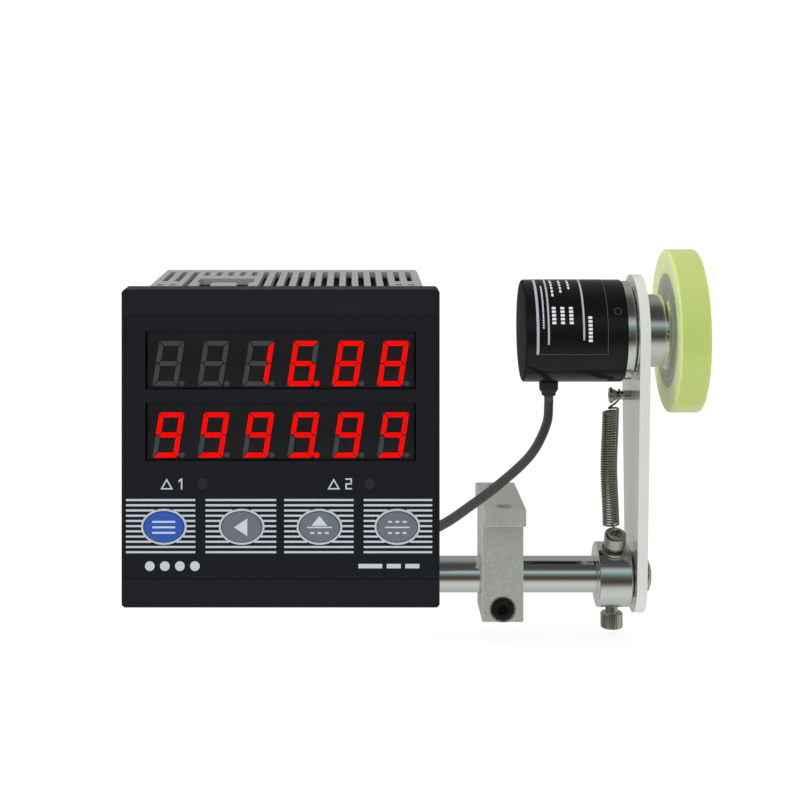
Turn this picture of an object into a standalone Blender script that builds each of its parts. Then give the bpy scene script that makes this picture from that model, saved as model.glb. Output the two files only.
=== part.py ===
"""Length-measuring wheel set: an encoder with a measuring wheel on a sprung swing arm, the clamped
rod that carries it, and the panel counter that its cable feeds.

Frame: origin at the centre of the clamp block's mounting face, +X along the rod towards the wheel,
+Y from the counter's front towards its rear, +Z up.
"""

import math

import bmesh
import bpy
from mathutils import Vector

MM = 0.001
TURN = 2 * math.pi
X_AXIS = Vector((1, 0, 0))
Y_AXIS = Vector((0, 1, 0))
Z_AXIS = Vector((0, 0, 1))

# Modelling
GAP = 0.3 * MM
OVERCUT = 2 * MM
WELD = 0.001 * MM
SMOOTH_ANGLE = math.radians(35)
COARSE, MEDIUM, FINE = 12, 20, 32

# Rod and clamp block, measured from the block's mounting face
ROD_DROP = 31 * MM
ROD_RADIUS = 7 * MM
ROD_LEFT, ROD_RIGHT = -62 * MM, 50.2 * MM
BLOCK_WIDTH = 16 * MM
BLOCK_HEIGHT = 46.2 * MM
FLANGE_DEPTH, FLANGE_THICK = 46 * MM, 6.7 * MM
STEM_DEPTH = 25 * MM
BLOCK_EDGE = 0.3 * MM
SLIT_WIDTH = 1.5 * MM
FLANGE_HOLE_RADIUS, FLANGE_HOLE_Y = 2.75 * MM, 17.6 * MM
CLAMP_SCREW_DROP = 10.2 * MM

# M5 and M4 hardware
M5_RADIUS, M5_CLEARANCE = 2.5 * MM, 2.8 * MM
M5_HEAD_RADIUS, M5_HEAD_HEIGHT, M5_HEX = 4.25 * MM, 5 * MM, 2.3 * MM
M4_RADIUS = 2 * MM
M3_RADIUS = 1.5 * MM

# Pivot at the rod's end
COLLAR_LEFT, COLLAR_RIGHT, COLLAR_RADIUS = 37.6 * MM, 50.5 * MM, 12.5 * MM
COLLAR_SCREW_X = 44 * MM
TENSION_TILT = math.radians(28)
WASHER_RADIUS, WASHER_THICK = 4.8 * MM, 1 * MM
TENSION_NECK = 1.9 * MM
LOCK_NECK, LOCK_HEAD_HEIGHT = 2.4 * MM, 6 * MM
PIVOT_WASHER_RADIUS, PIVOT_WASHER_THICK = 9 * MM, 0.5 * MM
PIVOT_HEAD_RADIUS, PIVOT_HEAD_HEIGHT = 7 * MM, 3.1 * MM
PIVOT_SHOULDER, PIVOT_THREAD, PIVOT_THREAD_LENGTH = 4 * MM, 3 * MM, 12 * MM
BUSH_WALL = 1.2 * MM

# Swing arm
PLATE_LEFT, PLATE_THICK = 51.6 * MM, 4 * MM
PLATE_TOP_RADIUS, PLATE_FOOT_RADIUS = 22 * MM, 14.5 * MM
ENCODER_RISE = 96 * MM
POST_RISE = 70.5 * MM
POST_LEFT, POST_WAIST_LEFT, POST_HEAD_RADIUS, POST_NECK_RADIUS = 43 * MM, 46 * MM, 3.15 * MM, 1.6 * MM

# Encoder, along X
COVER_LEFT, COVER_RIGHT, COVER_RADIUS, COVER_WALL = 8.3 * MM, 47.1 * MM, 20 * MM, 1.2 * MM
FLANGE_RIM_RIGHT, FLANGE_RADIUS = 50.6 * MM, 19.5 * MM
FLANGE_LAND_RADIUS, PILOT_RADIUS, PILOT_RIGHT = 17 * MM, 10 * MM, 54.5 * MM
SPIGOT_LEFT, FLANGE_BARREL_LEFT, FLANGE_BARREL_RADIUS = 41.5 * MM, 35.5 * MM, 10 * MM
BEARING_RADIUS, BEARING_WIDTH = 7.5 * MM, 5 * MM
BEARING_REAR_X, BEARING_FRONT_X = 36.2 * MM, 48.8 * MM
SHAFT_RADIUS, SHAFT_LEFT, SHAFT_RIGHT = 3 * MM, 29 * MM, 75 * MM
DISC_X, DISC_RADIUS, DISC_THICK = 32 * MM, 12 * MM, 0.5 * MM
BOARD_X, BOARD_RADIUS, BOARD_THICK = 24 * MM, 17.5 * MM, 1.6 * MM
PILLAR_RADIUS, PILLAR_OFFSET = 1.5 * MM, 16 * MM
BOOT_X = 19.2 * MM
BOOT_NECK_RADIUS, BOOT_COLLAR_RADIUS, BOOT_TIP = 2.9 * MM, 4.2 * MM, 25.5 * MM
COVER_SCREW_RADIUS, COVER_SCREW_LENGTH = 1.1 * MM, 3.2 * MM
MOUNT_SCREW_CIRCLE = 14 * MM
COVER_SCREW_X = 43.7 * MM
COVER_SCREW_ANGLE = math.radians(61)

# Measuring wheel
BOSS_RADIUS, BOSS_LEFT = 14.2 * MM, 56.3 * MM
WHEEL_LEFT, WHEEL_RIGHT = 65.4 * MM, 76.9 * MM
HUB_RADIUS = 22 * MM
WHEEL_RADIUS = 31.83 * MM
SET_SCREW_X = 60.6 * MM

# Spring
SPRING_RADIUS, WIRE_RADIUS, SPRING_TURNS, TURN_STEPS = 2.95 * MM, 0.42 * MM, 16, 7
SPRING_X, SPRING_BOTTOM, SPRING_TOP = 43.7 * MM, 19.4 * MM, 64.6 * MM

# Cable
CABLE_RADIUS = 2 * MM

# Counter: centre of its front face, then sizes; depths run along +Y from the front
COUNTER_X, COUNTER_Y, COUNTER_Z = -74.8 * MM, -277 * MM, 75.3 * MM
BEZEL_SIDE, BEZEL_DEPTH, BEZEL_EDGE, BEZEL_RECESS = 72 * MM, 8 * MM, 0.6 * MM, 1 * MM
CHAMBER_END = 5 * MM
FILM_WIDTH, FILM_HEIGHT, FILM_THICK, FILM_LIFT = 69.9 * MM, 59.2 * MM, 0.5 * MM, 0.3 * MM
FILM_DEPTH = 0.1 * MM
WINDOW_WIDTH, WINDOW_HEIGHT = 61.2 * MM, 13.1 * MM
WINDOW_Z = {"upper": 19.9 * MM, "lower": 3.7 * MM}
HOUSING_SIDE, HOUSING_END, HOUSING_WALL = 67.4 * MM, 70 * MM, 1.6 * MM
TONGUE_SIDE, TONGUE_WALL, TONGUE_END = 63.4 * MM, 0.9 * MM, 12 * MM
DISPLAY_BOARD_DEPTH = 10.3 * MM
KEY_PITCH, KEY_Z, KEY_HALF_WIDTH, KEY_HALF_HEIGHT = 17.6 * MM, -17.7 * MM, 4.55 * MM, 3.45 * MM
KEY_PROUD, KEY_CLEARANCE = 0.4 * MM, 0.35 * MM
KEY_NAMES = ("set", "shift", "up", "reset")
LAMP_X, LAMP_Z, LAMP_RADIUS = (-17.7 * MM, 20.1 * MM), -8 * MM, 1.35 * MM
VENT_PITCH, VENT_WIDTH, VENT_COLUMNS = 3.08 * MM, 1.45 * MM, 21
VENT_FRONT, VENT_REAR = 12 * MM, 64 * MM

# Finishes: colour, metallic, roughness
FINISHES = {
    "cast_aluminium": ((0.60, 0.61, 0.58), 0.9, 0.55),
    "brushed_aluminium": ((0.74, 0.76, 0.73), 1.0, 0.35),
    "polished_steel": ((0.68, 0.70, 0.70), 1.0, 0.15),
    "nickel": ((0.62, 0.60, 0.55), 1.0, 0.25),
    "black_steel": ((0.03, 0.03, 0.03), 0.8, 0.4),
    "bronze": ((0.55, 0.38, 0.18), 1.0, 0.4),
    "black_enamel": ((0.015, 0.015, 0.017), 0.0, 0.3),
    "black_rubber": ((0.02, 0.02, 0.02), 0.0, 0.55),
    "polyurethane": ((0.55, 0.70, 0.20), 0.0, 0.25),
    "charcoal_plastic": ((0.035, 0.04, 0.045), 0.0, 0.5),
    "grey_plastic": ((0.38, 0.39, 0.40), 0.0, 0.55),
    "film": ((0.02, 0.022, 0.024), 0.0, 0.4),
    "dark_acrylic": ((0.05, 0.03, 0.03), 0.0, 0.1),
    "led_module": ((0.08, 0.08, 0.08), 0.0, 0.4),
    "lamp": ((0.25, 0.08, 0.08), 0.0, 0.2),
    "blue_key": ((0.05, 0.12, 0.55), 0.0, 0.35),
    "grey_key": ((0.22, 0.23, 0.24), 0.0, 0.35),
    "circuit_board": ((0.02, 0.18, 0.07), 0.0, 0.5),
    "glass_disc": ((0.5, 0.55, 0.55), 0.2, 0.1),
    "winding": ((0.45, 0.22, 0.08), 0.6, 0.4),
    "relay_blue": ((0.03, 0.10, 0.30), 0.0, 0.4),
    "terminal_green": ((0.03, 0.22, 0.10), 0.0, 0.5),
}


# ---------------------------------------------------------------- helpers


def clear_scene():
    for item in list(bpy.data.objects):
        bpy.data.objects.remove(item, do_unlink=True)


def paint(obj, finish):
    """Gives an object its own material with the colour, metallic and roughness values of a finish."""
    colour, metallic, roughness = FINISHES[finish]
    material = bpy.data.materials.new(obj.name)
    material.use_nodes = True
    shader = material.node_tree.nodes["Principled BSDF"]
    shader.inputs["Base Color"].default_value = (*colour, 1)
    shader.inputs["Metallic"].default_value = metallic
    shader.inputs["Roughness"].default_value = roughness
    obj.data.materials.append(material)


def add_mesh(name, bm, finish=None):
    """Makes an object of a closed bmesh, with its faces pointing out."""
    bmesh.ops.recalc_face_normals(bm, faces=bm.faces)
    mesh = bpy.data.meshes.new(name)
    bm.to_mesh(mesh)
    bm.free()
    obj = bpy.data.objects.new(name, mesh)
    bpy.context.collection.objects.link(obj)
    mesh.shade_smooth()
    mesh.set_sharp_from_angle(angle=SMOOTH_ANGLE)
    if finish:
        paint(obj, finish)
    return obj


def turned(name, outline, finish=None, steps=MEDIUM):
    """A turned solid about local Z. The outline's (radius, height) points run from the axis back to
    it, or round a closed section when they stay off the axis."""
    bm = bmesh.new()
    points = [bm.verts.new((radius, 0, height)) for radius, height in outline]
    lines = [bm.edges.new(pair) for pair in zip(points, points[1:])]
    if outline[0][0] > 0:
        lines.append(bm.edges.new((points[-1], points[0])))
    bmesh.ops.spin(
        bm, geom=points + lines, cent=(0, 0, 0), axis=Z_AXIS, angle=TURN, steps=steps, use_merge=True
    )
    bmesh.ops.remove_doubles(bm, verts=bm.verts, dist=WELD)
    return add_mesh(name, bm, finish)


def rod_outline(radius, low, high, edge=0.0):
    """Outline of a plain turned rod between two heights, with chamfered ends."""
    return [
        (0, low), (radius - edge, low), (radius, low + edge),
        (radius, high - edge), (radius - edge, high), (0, high),
    ] if edge else [(0, low), (radius, low), (radius, high), (0, high)]


def tube_outline(bore, radius, low, high, edge=0.0):
    """Outline of a turned ring between two heights, with chamfered outer edges."""
    if not edge:
        return [(bore, low), (radius, low), (radius, high), (bore, high)]
    return [
        (bore, low), (radius - edge, low), (radius, low + edge),
        (radius, high - edge), (radius - edge, high), (bore, high),
    ]


def box(name, size, finish=None, edge=0.0):
    """A box centred on its origin, with chamfered edges."""
    bm = bmesh.new()
    bmesh.ops.create_cube(bm, size=1)
    bmesh.ops.scale(bm, vec=size, verts=bm.verts)
    if edge:
        bmesh.ops.bevel(bm, geom=bm.edges[:], offset=edge, segments=1, affect="EDGES")
    return add_mesh(name, bm, finish)


def prism(name, outline, length, finish=None, edge=0.0):
    """An outline in local XY pulled up to a length along +Z, with chamfered edges."""
    bm = bmesh.new()
    face = bm.faces.new([bm.verts.new((x, y, 0)) for x, y in outline])
    pulled = bmesh.ops.extrude_face_region(bm, geom=[face])["geom"]
    moved = [item for item in pulled if isinstance(item, bmesh.types.BMVert)]
    bmesh.ops.translate(bm, vec=Z_AXIS * length, verts=moved)
    if edge:
        bmesh.ops.bevel(bm, geom=bm.edges[:], offset=edge, segments=1, affect="EDGES")
    return add_mesh(name, bm, finish)


def swept(name, points, radius, finish, sides=0):
    """A round wire or cable along a path of points, with closed ends."""
    curve = bpy.data.curves.new(name, "CURVE")
    curve.dimensions = "3D"
    curve.bevel_depth = radius
    curve.bevel_resolution = sides
    curve.use_fill_caps = True
    curve.resolution_u = 1
    spline = curve.splines.new("POLY")
    spline.points.add(len(points) - 1)
    for place, point in zip(spline.points, points):
        place.co = (*point, 1)
    obj = bpy.data.objects.new(name, curve)
    bpy.context.collection.objects.link(obj)
    paint(obj, finish)
    return obj


def put(obj, at, along=Z_AXIS, parent=None):
    """Places an object in the world, its local Z along a direction, and hangs it from a parent empty."""
    obj.rotation_euler = Vector(along).to_track_quat("Z", "Y").to_euler()
    obj.location = Vector(at) - (parent.location_in_world if parent else Vector())
    if parent:
        obj.parent = parent.empty
    return obj


class Pivot:
    """An empty on a joint's axis, with its place in the world."""

    def __init__(self, name, at, parent=None):
        self.location_in_world = Vector(at)
        self.empty = bpy.data.objects.new(name, None)
        bpy.context.collection.objects.link(self.empty)
        self.empty.location = Vector(at) - (parent.location_in_world if parent else Vector())
        if parent:
            self.empty.parent = parent.empty


def boolean(obj, tools, operation="DIFFERENCE"):
    """Cuts an object with tool solids, or joins them to it."""
    for tool in tools:
        tool.hide_render = True
        tool.display_type = "WIRE"
        step = obj.modifiers.new(tool.name, "BOOLEAN")
        step.operation = operation
        step.object = tool


def boxes(name, places):
    """One cutter of several separate boxes, each given by its centre and size."""
    bm = bmesh.new()
    for centre, size in places:
        made = bmesh.ops.create_cube(bm, size=1)["verts"]
        bmesh.ops.scale(bm, vec=size, verts=made)
        bmesh.ops.translate(bm, vec=centre, verts=made)
    return add_mesh(name, bm)


def round_cutter(name, radius, length, at, along=Z_AXIS, parent=None, steps=MEDIUM):
    """A cylinder cutter centred on a point."""
    tool = turned(name, rod_outline(radius, -length / 2, length / 2), steps=steps)
    return put(tool, at, along, parent)


def hex_cutter(name, radius, depth, at, along, parent=None):
    """A hexagonal cutter for a socket, sunk to a depth from its mouth."""
    tool = turned(name, rod_outline(radius, -depth, depth), steps=6)
    return put(tool, at, along, parent)


def socket_screw(name, at, along, finish, parent=None, neck=0.0, head=M5_HEAD_HEIGHT, reach=8 * MM):
    """An M5 socket-head cap screw. The place is under its washer, and along points out to its head."""
    edge = 0.4 * MM
    top = neck + head
    outline = [
        (0, -reach), (M5_RADIUS, -reach), (M5_RADIUS, neck), (M5_HEAD_RADIUS, neck),
        (M5_HEAD_RADIUS, top - edge), (M5_HEAD_RADIUS - edge, top), (0, top),
    ]
    screw = put(turned(name, outline, finish, MEDIUM), at, along, parent)
    mouth = Vector(at) + Vector(along) * top
    socket = hex_cutter(f"{name}_socket", M5_HEX, M5_HEAD_HEIGHT / 2, mouth, along, parent)
    boolean(screw, [socket])
    return screw


def grub_screw(name, at, along, radius, length, parent, finish="black_steel"):
    """A headless set screw with a hexagon socket in its outer end, at the given place."""
    screw = put(turned(name, rod_outline(radius, -length, 0), finish, COARSE), at, along, parent)
    boolean(screw, [hex_cutter(f"{name}_socket", radius * 0.55, radius, at, along, parent)])
    return screw


def rod_point(x, y=0.0, rise=0.0):
    """A point given by its height above the rod's axis."""
    return Vector((x, y, rise - ROD_DROP))


def encoder_point(x, angle=0.0, radius=0.0):
    """A point about the encoder's axis. The angle turns from straight up towards the viewer's side."""
    return rod_point(x, -radius * math.sin(angle), ENCODER_RISE + radius * math.cos(angle))


def encoder_outward(angle):
    return Vector((0, -math.sin(angle), math.cos(angle)))


def counter_point(x, depth, z):
    """A point given from the centre of the counter's front face."""
    return Vector((COUNTER_X + x, COUNTER_Y + depth, COUNTER_Z + z))


# ---------------------------------------------------------------- clamp block and rod


def clamp_block():
    """T-shaped block hung from its flange, split below the rod and pinched by one screw."""
    top, stem_bottom, stem = 0.0, -BLOCK_HEIGHT, STEM_DEPTH / 2
    flange, shelf = FLANGE_DEPTH / 2, -FLANGE_THICK
    outline = [
        (-stem, stem_bottom), (stem, stem_bottom), (stem, shelf), (flange, shelf),
        (flange, top), (-flange, top), (-flange, shelf), (-stem, shelf),
    ]
    block = prism("clamp_block", outline, BLOCK_WIDTH, "cast_aluminium", BLOCK_EDGE)
    block.rotation_euler = (math.pi / 2, 0, math.pi / 2)
    block.location = (-BLOCK_WIDTH / 2, 0, 0)
    tall = BLOCK_HEIGHT - ROD_DROP
    bore = round_cutter(
        "bore", ROD_RADIUS + GAP, BLOCK_WIDTH + OVERCUT, rod_point(0), X_AXIS, steps=FINE
    )
    slit_at = (0, 0, -ROD_DROP - tall / 2 - OVERCUT)
    slit = boxes("slit", [(slit_at, (BLOCK_WIDTH + OVERCUT, SLIT_WIDTH, tall))])
    screw_at = rod_point(0, 0, -CLAMP_SCREW_DROP)
    hole = round_cutter("clamp_hole", M5_CLEARANCE, STEM_DEPTH + OVERCUT, screw_at, Y_AXIS)
    mouth = screw_at - Y_AXIS * stem
    counterbore = round_cutter(
        "counterbore", M5_HEAD_RADIUS + GAP, 2 * (M5_HEAD_HEIGHT + GAP), mouth, Y_AXIS
    )
    bolt_holes = [
        round_cutter(
            f"flange_hole_{side}", FLANGE_HOLE_RADIUS, 3 * FLANGE_THICK, (0, side * FLANGE_HOLE_Y, 0)
        )
        for side in (-1, 1)
    ]
    boolean(block, [bore, slit, hole, counterbore, *bolt_holes])
    seat = mouth + Y_AXIS * M5_HEAD_HEIGHT
    socket_screw("clamp_screw", seat, -Y_AXIS, "black_steel", reach=STEM_DEPTH - M5_HEAD_HEIGHT - GAP)


def support_rod():
    outline = rod_outline(ROD_RADIUS, ROD_LEFT, ROD_RIGHT, 0.6 * MM)
    rod = put(turned("support_rod", outline, "polished_steel", FINE), rod_point(0), X_AXIS)
    depth = PIVOT_THREAD_LENGTH + GAP
    tapped = round_cutter("rod_thread", PIVOT_THREAD + GAP, 2 * depth, rod_point(ROD_RIGHT), X_AXIS)
    boolean(rod, [tapped])


# ---------------------------------------------------------------- pivot


def pivot_collar():
    outline = tube_outline(ROD_RADIUS + GAP, COLLAR_RADIUS, COLLAR_LEFT, COLLAR_RIGHT, 0.5 * MM)
    collar = put(turned("pivot_collar", outline, "polished_steel", FINE), rod_point(0), X_AXIS)
    tapped = [
        round_cutter(
            f"collar_hole_{number}", M5_CLEARANCE, COLLAR_RADIUS,
            rod_point(COLLAR_SCREW_X) + along * COLLAR_RADIUS, along,
        )
        for number, along in enumerate((encoder_outward(TENSION_TILT), -Z_AXIS))
    ]
    boolean(collar, tapped)


def collar_screws():
    """The leaning screw that anchors the spring over its washer, and the lock screw underneath."""
    reach = COLLAR_RADIUS - ROD_RADIUS - GAP
    lean = encoder_outward(TENSION_TILT)
    washer_outline = tube_outline(M5_CLEARANCE, WASHER_RADIUS, GAP, GAP + WASHER_THICK)
    centre = rod_point(COLLAR_SCREW_X)
    put(turned("tension_washer", washer_outline, "nickel"), centre + lean * COLLAR_RADIUS, lean)
    neck = GAP + WASHER_THICK + TENSION_NECK
    socket_screw(
        "collar_tension_screw", centre + lean * COLLAR_RADIUS, lean, "nickel", neck=neck, reach=reach
    )
    socket_screw(
        "collar_lock_screw", centre - Z_AXIS * COLLAR_RADIUS, -Z_AXIS, "nickel",
        neck=LOCK_NECK, head=LOCK_HEAD_HEIGHT, reach=reach,
    )


def pivot_bolt():
    """Shoulder bolt in the rod's end that the arm swings on, with the washer behind the arm."""
    washer_left = COLLAR_RIGHT + GAP
    washer = tube_outline(
        PIVOT_SHOULDER + GAP, PIVOT_WASHER_RADIUS, washer_left, washer_left + PIVOT_WASHER_THICK
    )
    put(turned("pivot_washer", washer, "nickel", MEDIUM), rod_point(0), X_AXIS)
    head_left = PLATE_LEFT + PLATE_THICK + GAP
    head_right = head_left + PIVOT_HEAD_HEIGHT
    round_over = 1 * MM
    outline = [
        (0, ROD_RIGHT - PIVOT_THREAD_LENGTH), (PIVOT_THREAD, ROD_RIGHT - PIVOT_THREAD_LENGTH),
        (PIVOT_THREAD, COLLAR_RIGHT), (PIVOT_SHOULDER, COLLAR_RIGHT),
        (PIVOT_SHOULDER, head_left), (PIVOT_HEAD_RADIUS, head_left),
        (PIVOT_HEAD_RADIUS, head_right - round_over),
        (PIVOT_HEAD_RADIUS - 0.3 * round_over, head_right - 0.3 * round_over),
        (PIVOT_HEAD_RADIUS - round_over, head_right), (0, head_right),
    ]
    bolt = put(turned("pivot_bolt", outline, "nickel", MEDIUM), rod_point(0), X_AXIS)
    socket = hex_cutter(
        "pivot_bolt_socket", PIVOT_SHOULDER * 0.7, PIVOT_HEAD_HEIGHT * 0.6, rod_point(head_right), X_AXIS
    )
    boolean(bolt, [socket])


# ---------------------------------------------------------------- swing arm


def arm_outline():
    """The arm's outline: a foot arc round the pivot and a top arc round the encoder, with straight
    sides that touch both. Local X points down and local Y towards the rear."""
    lean = math.asin((PLATE_TOP_RADIUS - PLATE_FOOT_RADIUS) / ENCODER_RISE)
    points = []
    for centre, radius, start, end in (
        (0.0, PLATE_FOOT_RADIUS, -math.pi / 2 - lean, math.pi / 2 + lean),
        (-ENCODER_RISE, PLATE_TOP_RADIUS, math.pi / 2 + lean, 3 * math.pi / 2 - lean),
    ):
        for step in range(MEDIUM + 1):
            angle = start + (end - start) * step / MEDIUM
            points.append((centre + radius * math.cos(angle), radius * math.sin(angle)))
    return points


def arm_plate(arm):
    plate = prism("arm_plate", arm_outline(), PLATE_THICK, "brushed_aluminium", 0.3 * MM)
    put(plate, rod_point(PLATE_LEFT), X_AXIS, arm)
    plate.rotation_euler = (0, math.pi / 2, 0)
    bush_radius = PIVOT_SHOULDER + GAP + BUSH_WALL
    middle = PLATE_LEFT + PLATE_THICK / 2
    through = PLATE_THICK + OVERCUT
    holes = [
        round_cutter("pivot_hole", bush_radius + GAP, through, rod_point(middle), X_AXIS, arm),
        round_cutter("pilot_hole", PILOT_RADIUS + GAP, through, encoder_point(middle), X_AXIS, arm, FINE),
        round_cutter("post_hole", M4_RADIUS + GAP, through, rod_point(middle, 0, POST_RISE), X_AXIS, arm),
    ]
    for number in range(3):
        holes.append(mount_screw_solid(f"screw_seat_{number + 1}", number, arm, grow=GAP))
    boolean(plate, holes)
    bush = tube_outline(
        PIVOT_SHOULDER + GAP, bush_radius, PLATE_LEFT + GAP, PLATE_LEFT + PLATE_THICK - GAP
    )
    put(turned("arm_bush", bush, "bronze"), rod_point(0), X_AXIS, arm)


def mount_screw_solid(name, number, arm, grow=0.0, finish=None):
    """A countersunk M3 screw that holds the encoder to the arm, or its seat when grown."""
    head_radius, head_height, reach = 3 * MM, 1.7 * MM, 7.5 * MM
    face = PLATE_LEFT + PLATE_THICK
    top = 0.0 if finish is None else -0.1 * MM
    outline = [
        (0, -reach - grow), (M3_RADIUS + grow, -reach - grow), (M3_RADIUS + grow, top - head_height),
        (head_radius + grow, top), (0, top),
    ]
    if finish is None:
        outline[-1:] = [(head_radius + grow, OVERCUT), (0, OVERCUT)]
    angle = math.pi + number * TURN / 3
    solid = turned(name, outline, finish, COARSE)
    return put(solid, encoder_point(face, angle, MOUNT_SCREW_CIRCLE), X_AXIS, arm)


def mount_screws(arm):
    for number in range(3):
        name = f"encoder_mount_screw_{number + 1}"
        screw = mount_screw_solid(name, number, arm, finish="nickel")
        angle = math.pi + number * TURN / 3
        mouth = encoder_point(PLATE_LEFT + PLATE_THICK, angle, MOUNT_SCREW_CIRCLE)
        boolean(screw, [hex_cutter(f"{name}_socket", 1.1 * MM, 1.2 * MM, mouth, X_AXIS, arm)])


def spring_post(arm):
    """Countersunk screw standing out of the arm; the spring's top hook rests in its waist."""
    head, waist_left, waist_right = 1.2 * MM, POST_WAIST_LEFT, POST_WAIST_LEFT + 2 * MM
    outline = [
        (0, POST_LEFT), (POST_HEAD_RADIUS, POST_LEFT), (POST_HEAD_RADIUS, POST_LEFT + head),
        (POST_NECK_RADIUS, waist_left), (POST_NECK_RADIUS, waist_right),
        (M4_RADIUS, waist_right + head), (M4_RADIUS, PLATE_LEFT + PLATE_THICK - GAP),
        (0, PLATE_LEFT + PLATE_THICK - GAP),
    ]
    at = rod_point(0, 0, POST_RISE)
    post = put(turned("spring_post", outline, "nickel", MEDIUM), at, X_AXIS, arm)
    slot = hex_cutter("spring_post_socket", 1.3 * MM, 1.2 * MM, at + X_AXIS * POST_LEFT, X_AXIS, arm)
    boolean(post, [slot])


# ---------------------------------------------------------------- encoder


def encoder_cover(arm):
    """Deep-drawn cover with a rounded rear edge, open towards the flange."""
    corner, steps = 2.2 * MM, 4
    inner = COVER_RADIUS - COVER_WALL
    outline = [(0, COVER_LEFT)]
    for step in range(steps + 1):
        angle = math.pi / 2 * step / steps
        outline.append((
            COVER_RADIUS - corner + corner * math.sin(angle),
            COVER_LEFT + corner - corner * math.cos(angle),
        ))
    outline += [
        (COVER_RADIUS, COVER_RIGHT), (inner, COVER_RIGHT), (inner, COVER_LEFT + COVER_WALL),
        (0, COVER_LEFT + COVER_WALL),
    ]
    cover = put(turned("encoder_cover", outline, "black_enamel", FINE), encoder_point(0), X_AXIS, arm)
    boot_hole = round_cutter(
        "boot_hole", BOOT_NECK_RADIUS + GAP, COVER_RADIUS,
        encoder_point(BOOT_X, math.pi, COVER_RADIUS), Z_AXIS, arm,
    )
    screw_holes = [
        round_cutter(
            f"cover_screw_hole_{number}", COVER_SCREW_RADIUS + GAP, COVER_RADIUS / 2,
            encoder_point(COVER_SCREW_X, angle, COVER_RADIUS), encoder_outward(angle), arm, COARSE,
        )
        for number, angle in enumerate(cover_screw_angles())
    ]
    boolean(cover, [boot_hole, *screw_holes])


def cover_screw_angles():
    """Three screws round the cover, the first one on the upper viewer's side."""
    return [COVER_SCREW_ANGLE + number * TURN / 3 for number in range(3)]


def cover_screws(arm):
    """Small grub screws through the cover into the flange's spigot."""
    for number, angle in enumerate(cover_screw_angles()):
        grub_screw(
            f"cover_screw_{number + 1}", encoder_point(COVER_SCREW_X, angle, COVER_RADIUS - 0.4 * MM),
            encoder_outward(angle), COVER_SCREW_RADIUS, COVER_SCREW_LENGTH, arm,
        )


def encoder_flange(arm):
    """Front flange: spigot inside the cover, rim, land against the arm, pilot and bearing barrel."""
    spigot = COVER_RADIUS - COVER_WALL - GAP
    bore = BEARING_RADIUS + GAP
    outline = [
        (bore, FLANGE_BARREL_LEFT), (FLANGE_BARREL_RADIUS, FLANGE_BARREL_LEFT),
        (FLANGE_BARREL_RADIUS, SPIGOT_LEFT), (spigot, SPIGOT_LEFT),
        (spigot, COVER_RIGHT + GAP), (FLANGE_RADIUS, COVER_RIGHT + GAP),
        (FLANGE_RADIUS, FLANGE_RIM_RIGHT), (FLANGE_LAND_RADIUS, FLANGE_RIM_RIGHT),
        (FLANGE_LAND_RADIUS, PLATE_LEFT - GAP), (PILOT_RADIUS, PLATE_LEFT - GAP),
        (PILOT_RADIUS, PILOT_RIGHT), (bore, PILOT_RIGHT),
    ]
    flange = turned("encoder_flange", outline, "brushed_aluminium", FINE)
    put(flange, encoder_point(0), X_AXIS, arm)
    taps = [mount_screw_solid(f"flange_tap_{number + 1}", number, arm, grow=GAP) for number in range(3)]
    taps += [
        round_cutter(
            f"cover_tap_{number}", COVER_SCREW_RADIUS + GAP, COVER_RADIUS / 2,
            encoder_point(COVER_SCREW_X, angle, COVER_RADIUS), encoder_outward(angle), arm, COARSE,
        )
        for number, angle in enumerate(cover_screw_angles())
    ]
    boolean(flange, taps)
    boolean(flange, flange_pillars(arm), "UNION")


def flange_pillars(arm):
    """Three pillars that carry the circuit board off the flange."""
    left = BOARD_X + BOARD_THICK + GAP
    right = SPIGOT_LEFT + 1 * MM
    return [
        round_cutter(
            f"board_pillar_{number}", PILLAR_RADIUS, right - left,
            encoder_point((left + right) / 2, math.pi / 2 + number * TURN / 3, PILLAR_OFFSET),
            X_AXIS, arm, COARSE,
        )
        for number in range(3)
    ]


def encoder_inside(arm, wheel):
    """Circuit board, optical sensor, code disc, bearings and the through shaft."""
    board = rod_outline(BOARD_RADIUS, BOARD_X, BOARD_X + BOARD_THICK)
    put(turned("encoder_board", board, "circuit_board", MEDIUM), encoder_point(0), X_AXIS, arm)

    sensor_left = BOARD_X + BOARD_THICK + GAP
    sensor_right = DISC_X + 3 * MM
    low, high, width = 8 * MM, 16 * MM, 9 * MM
    size = (sensor_right - sensor_left, width, high - low)
    sensor = box("optical_sensor", size, "charcoal_plastic")
    put(sensor, encoder_point((sensor_left + sensor_right) / 2, 0, (low + high) / 2), Z_AXIS, arm)
    throat = boxes("sensor_throat", [((0, 0, 0), (2 * MM, 2 * width, high - low))])
    put(throat, encoder_point(DISC_X, 0, (low + high) / 2 - 3 * MM), Z_AXIS, arm)
    boolean(sensor, [throat])

    bore, boss, half = SHAFT_RADIUS + GAP, 5 * MM, 2 * MM
    disc = [
        (bore, DISC_X - half), (boss, DISC_X - half), (boss, DISC_X - DISC_THICK / 2),
        (DISC_RADIUS, DISC_X - DISC_THICK / 2), (DISC_RADIUS, DISC_X + DISC_THICK / 2),
        (boss, DISC_X + DISC_THICK / 2), (boss, DISC_X + half), (bore, DISC_X + half),
    ]
    put(turned("code_disc", disc, "glass_disc", MEDIUM), encoder_point(0), X_AXIS, wheel)

    for name, left in (("bearing_rear", BEARING_REAR_X), ("bearing_front", BEARING_FRONT_X)):
        ring = tube_outline(bore, BEARING_RADIUS, left, left + BEARING_WIDTH)
        put(turned(name, ring, "polished_steel", MEDIUM), encoder_point(0), X_AXIS, arm)

    shaft = rod_outline(SHAFT_RADIUS, SHAFT_LEFT, SHAFT_RIGHT, 0.4 * MM)
    put(turned("encoder_shaft", shaft, "polished_steel", MEDIUM), encoder_point(0), X_AXIS, wheel)


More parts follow.
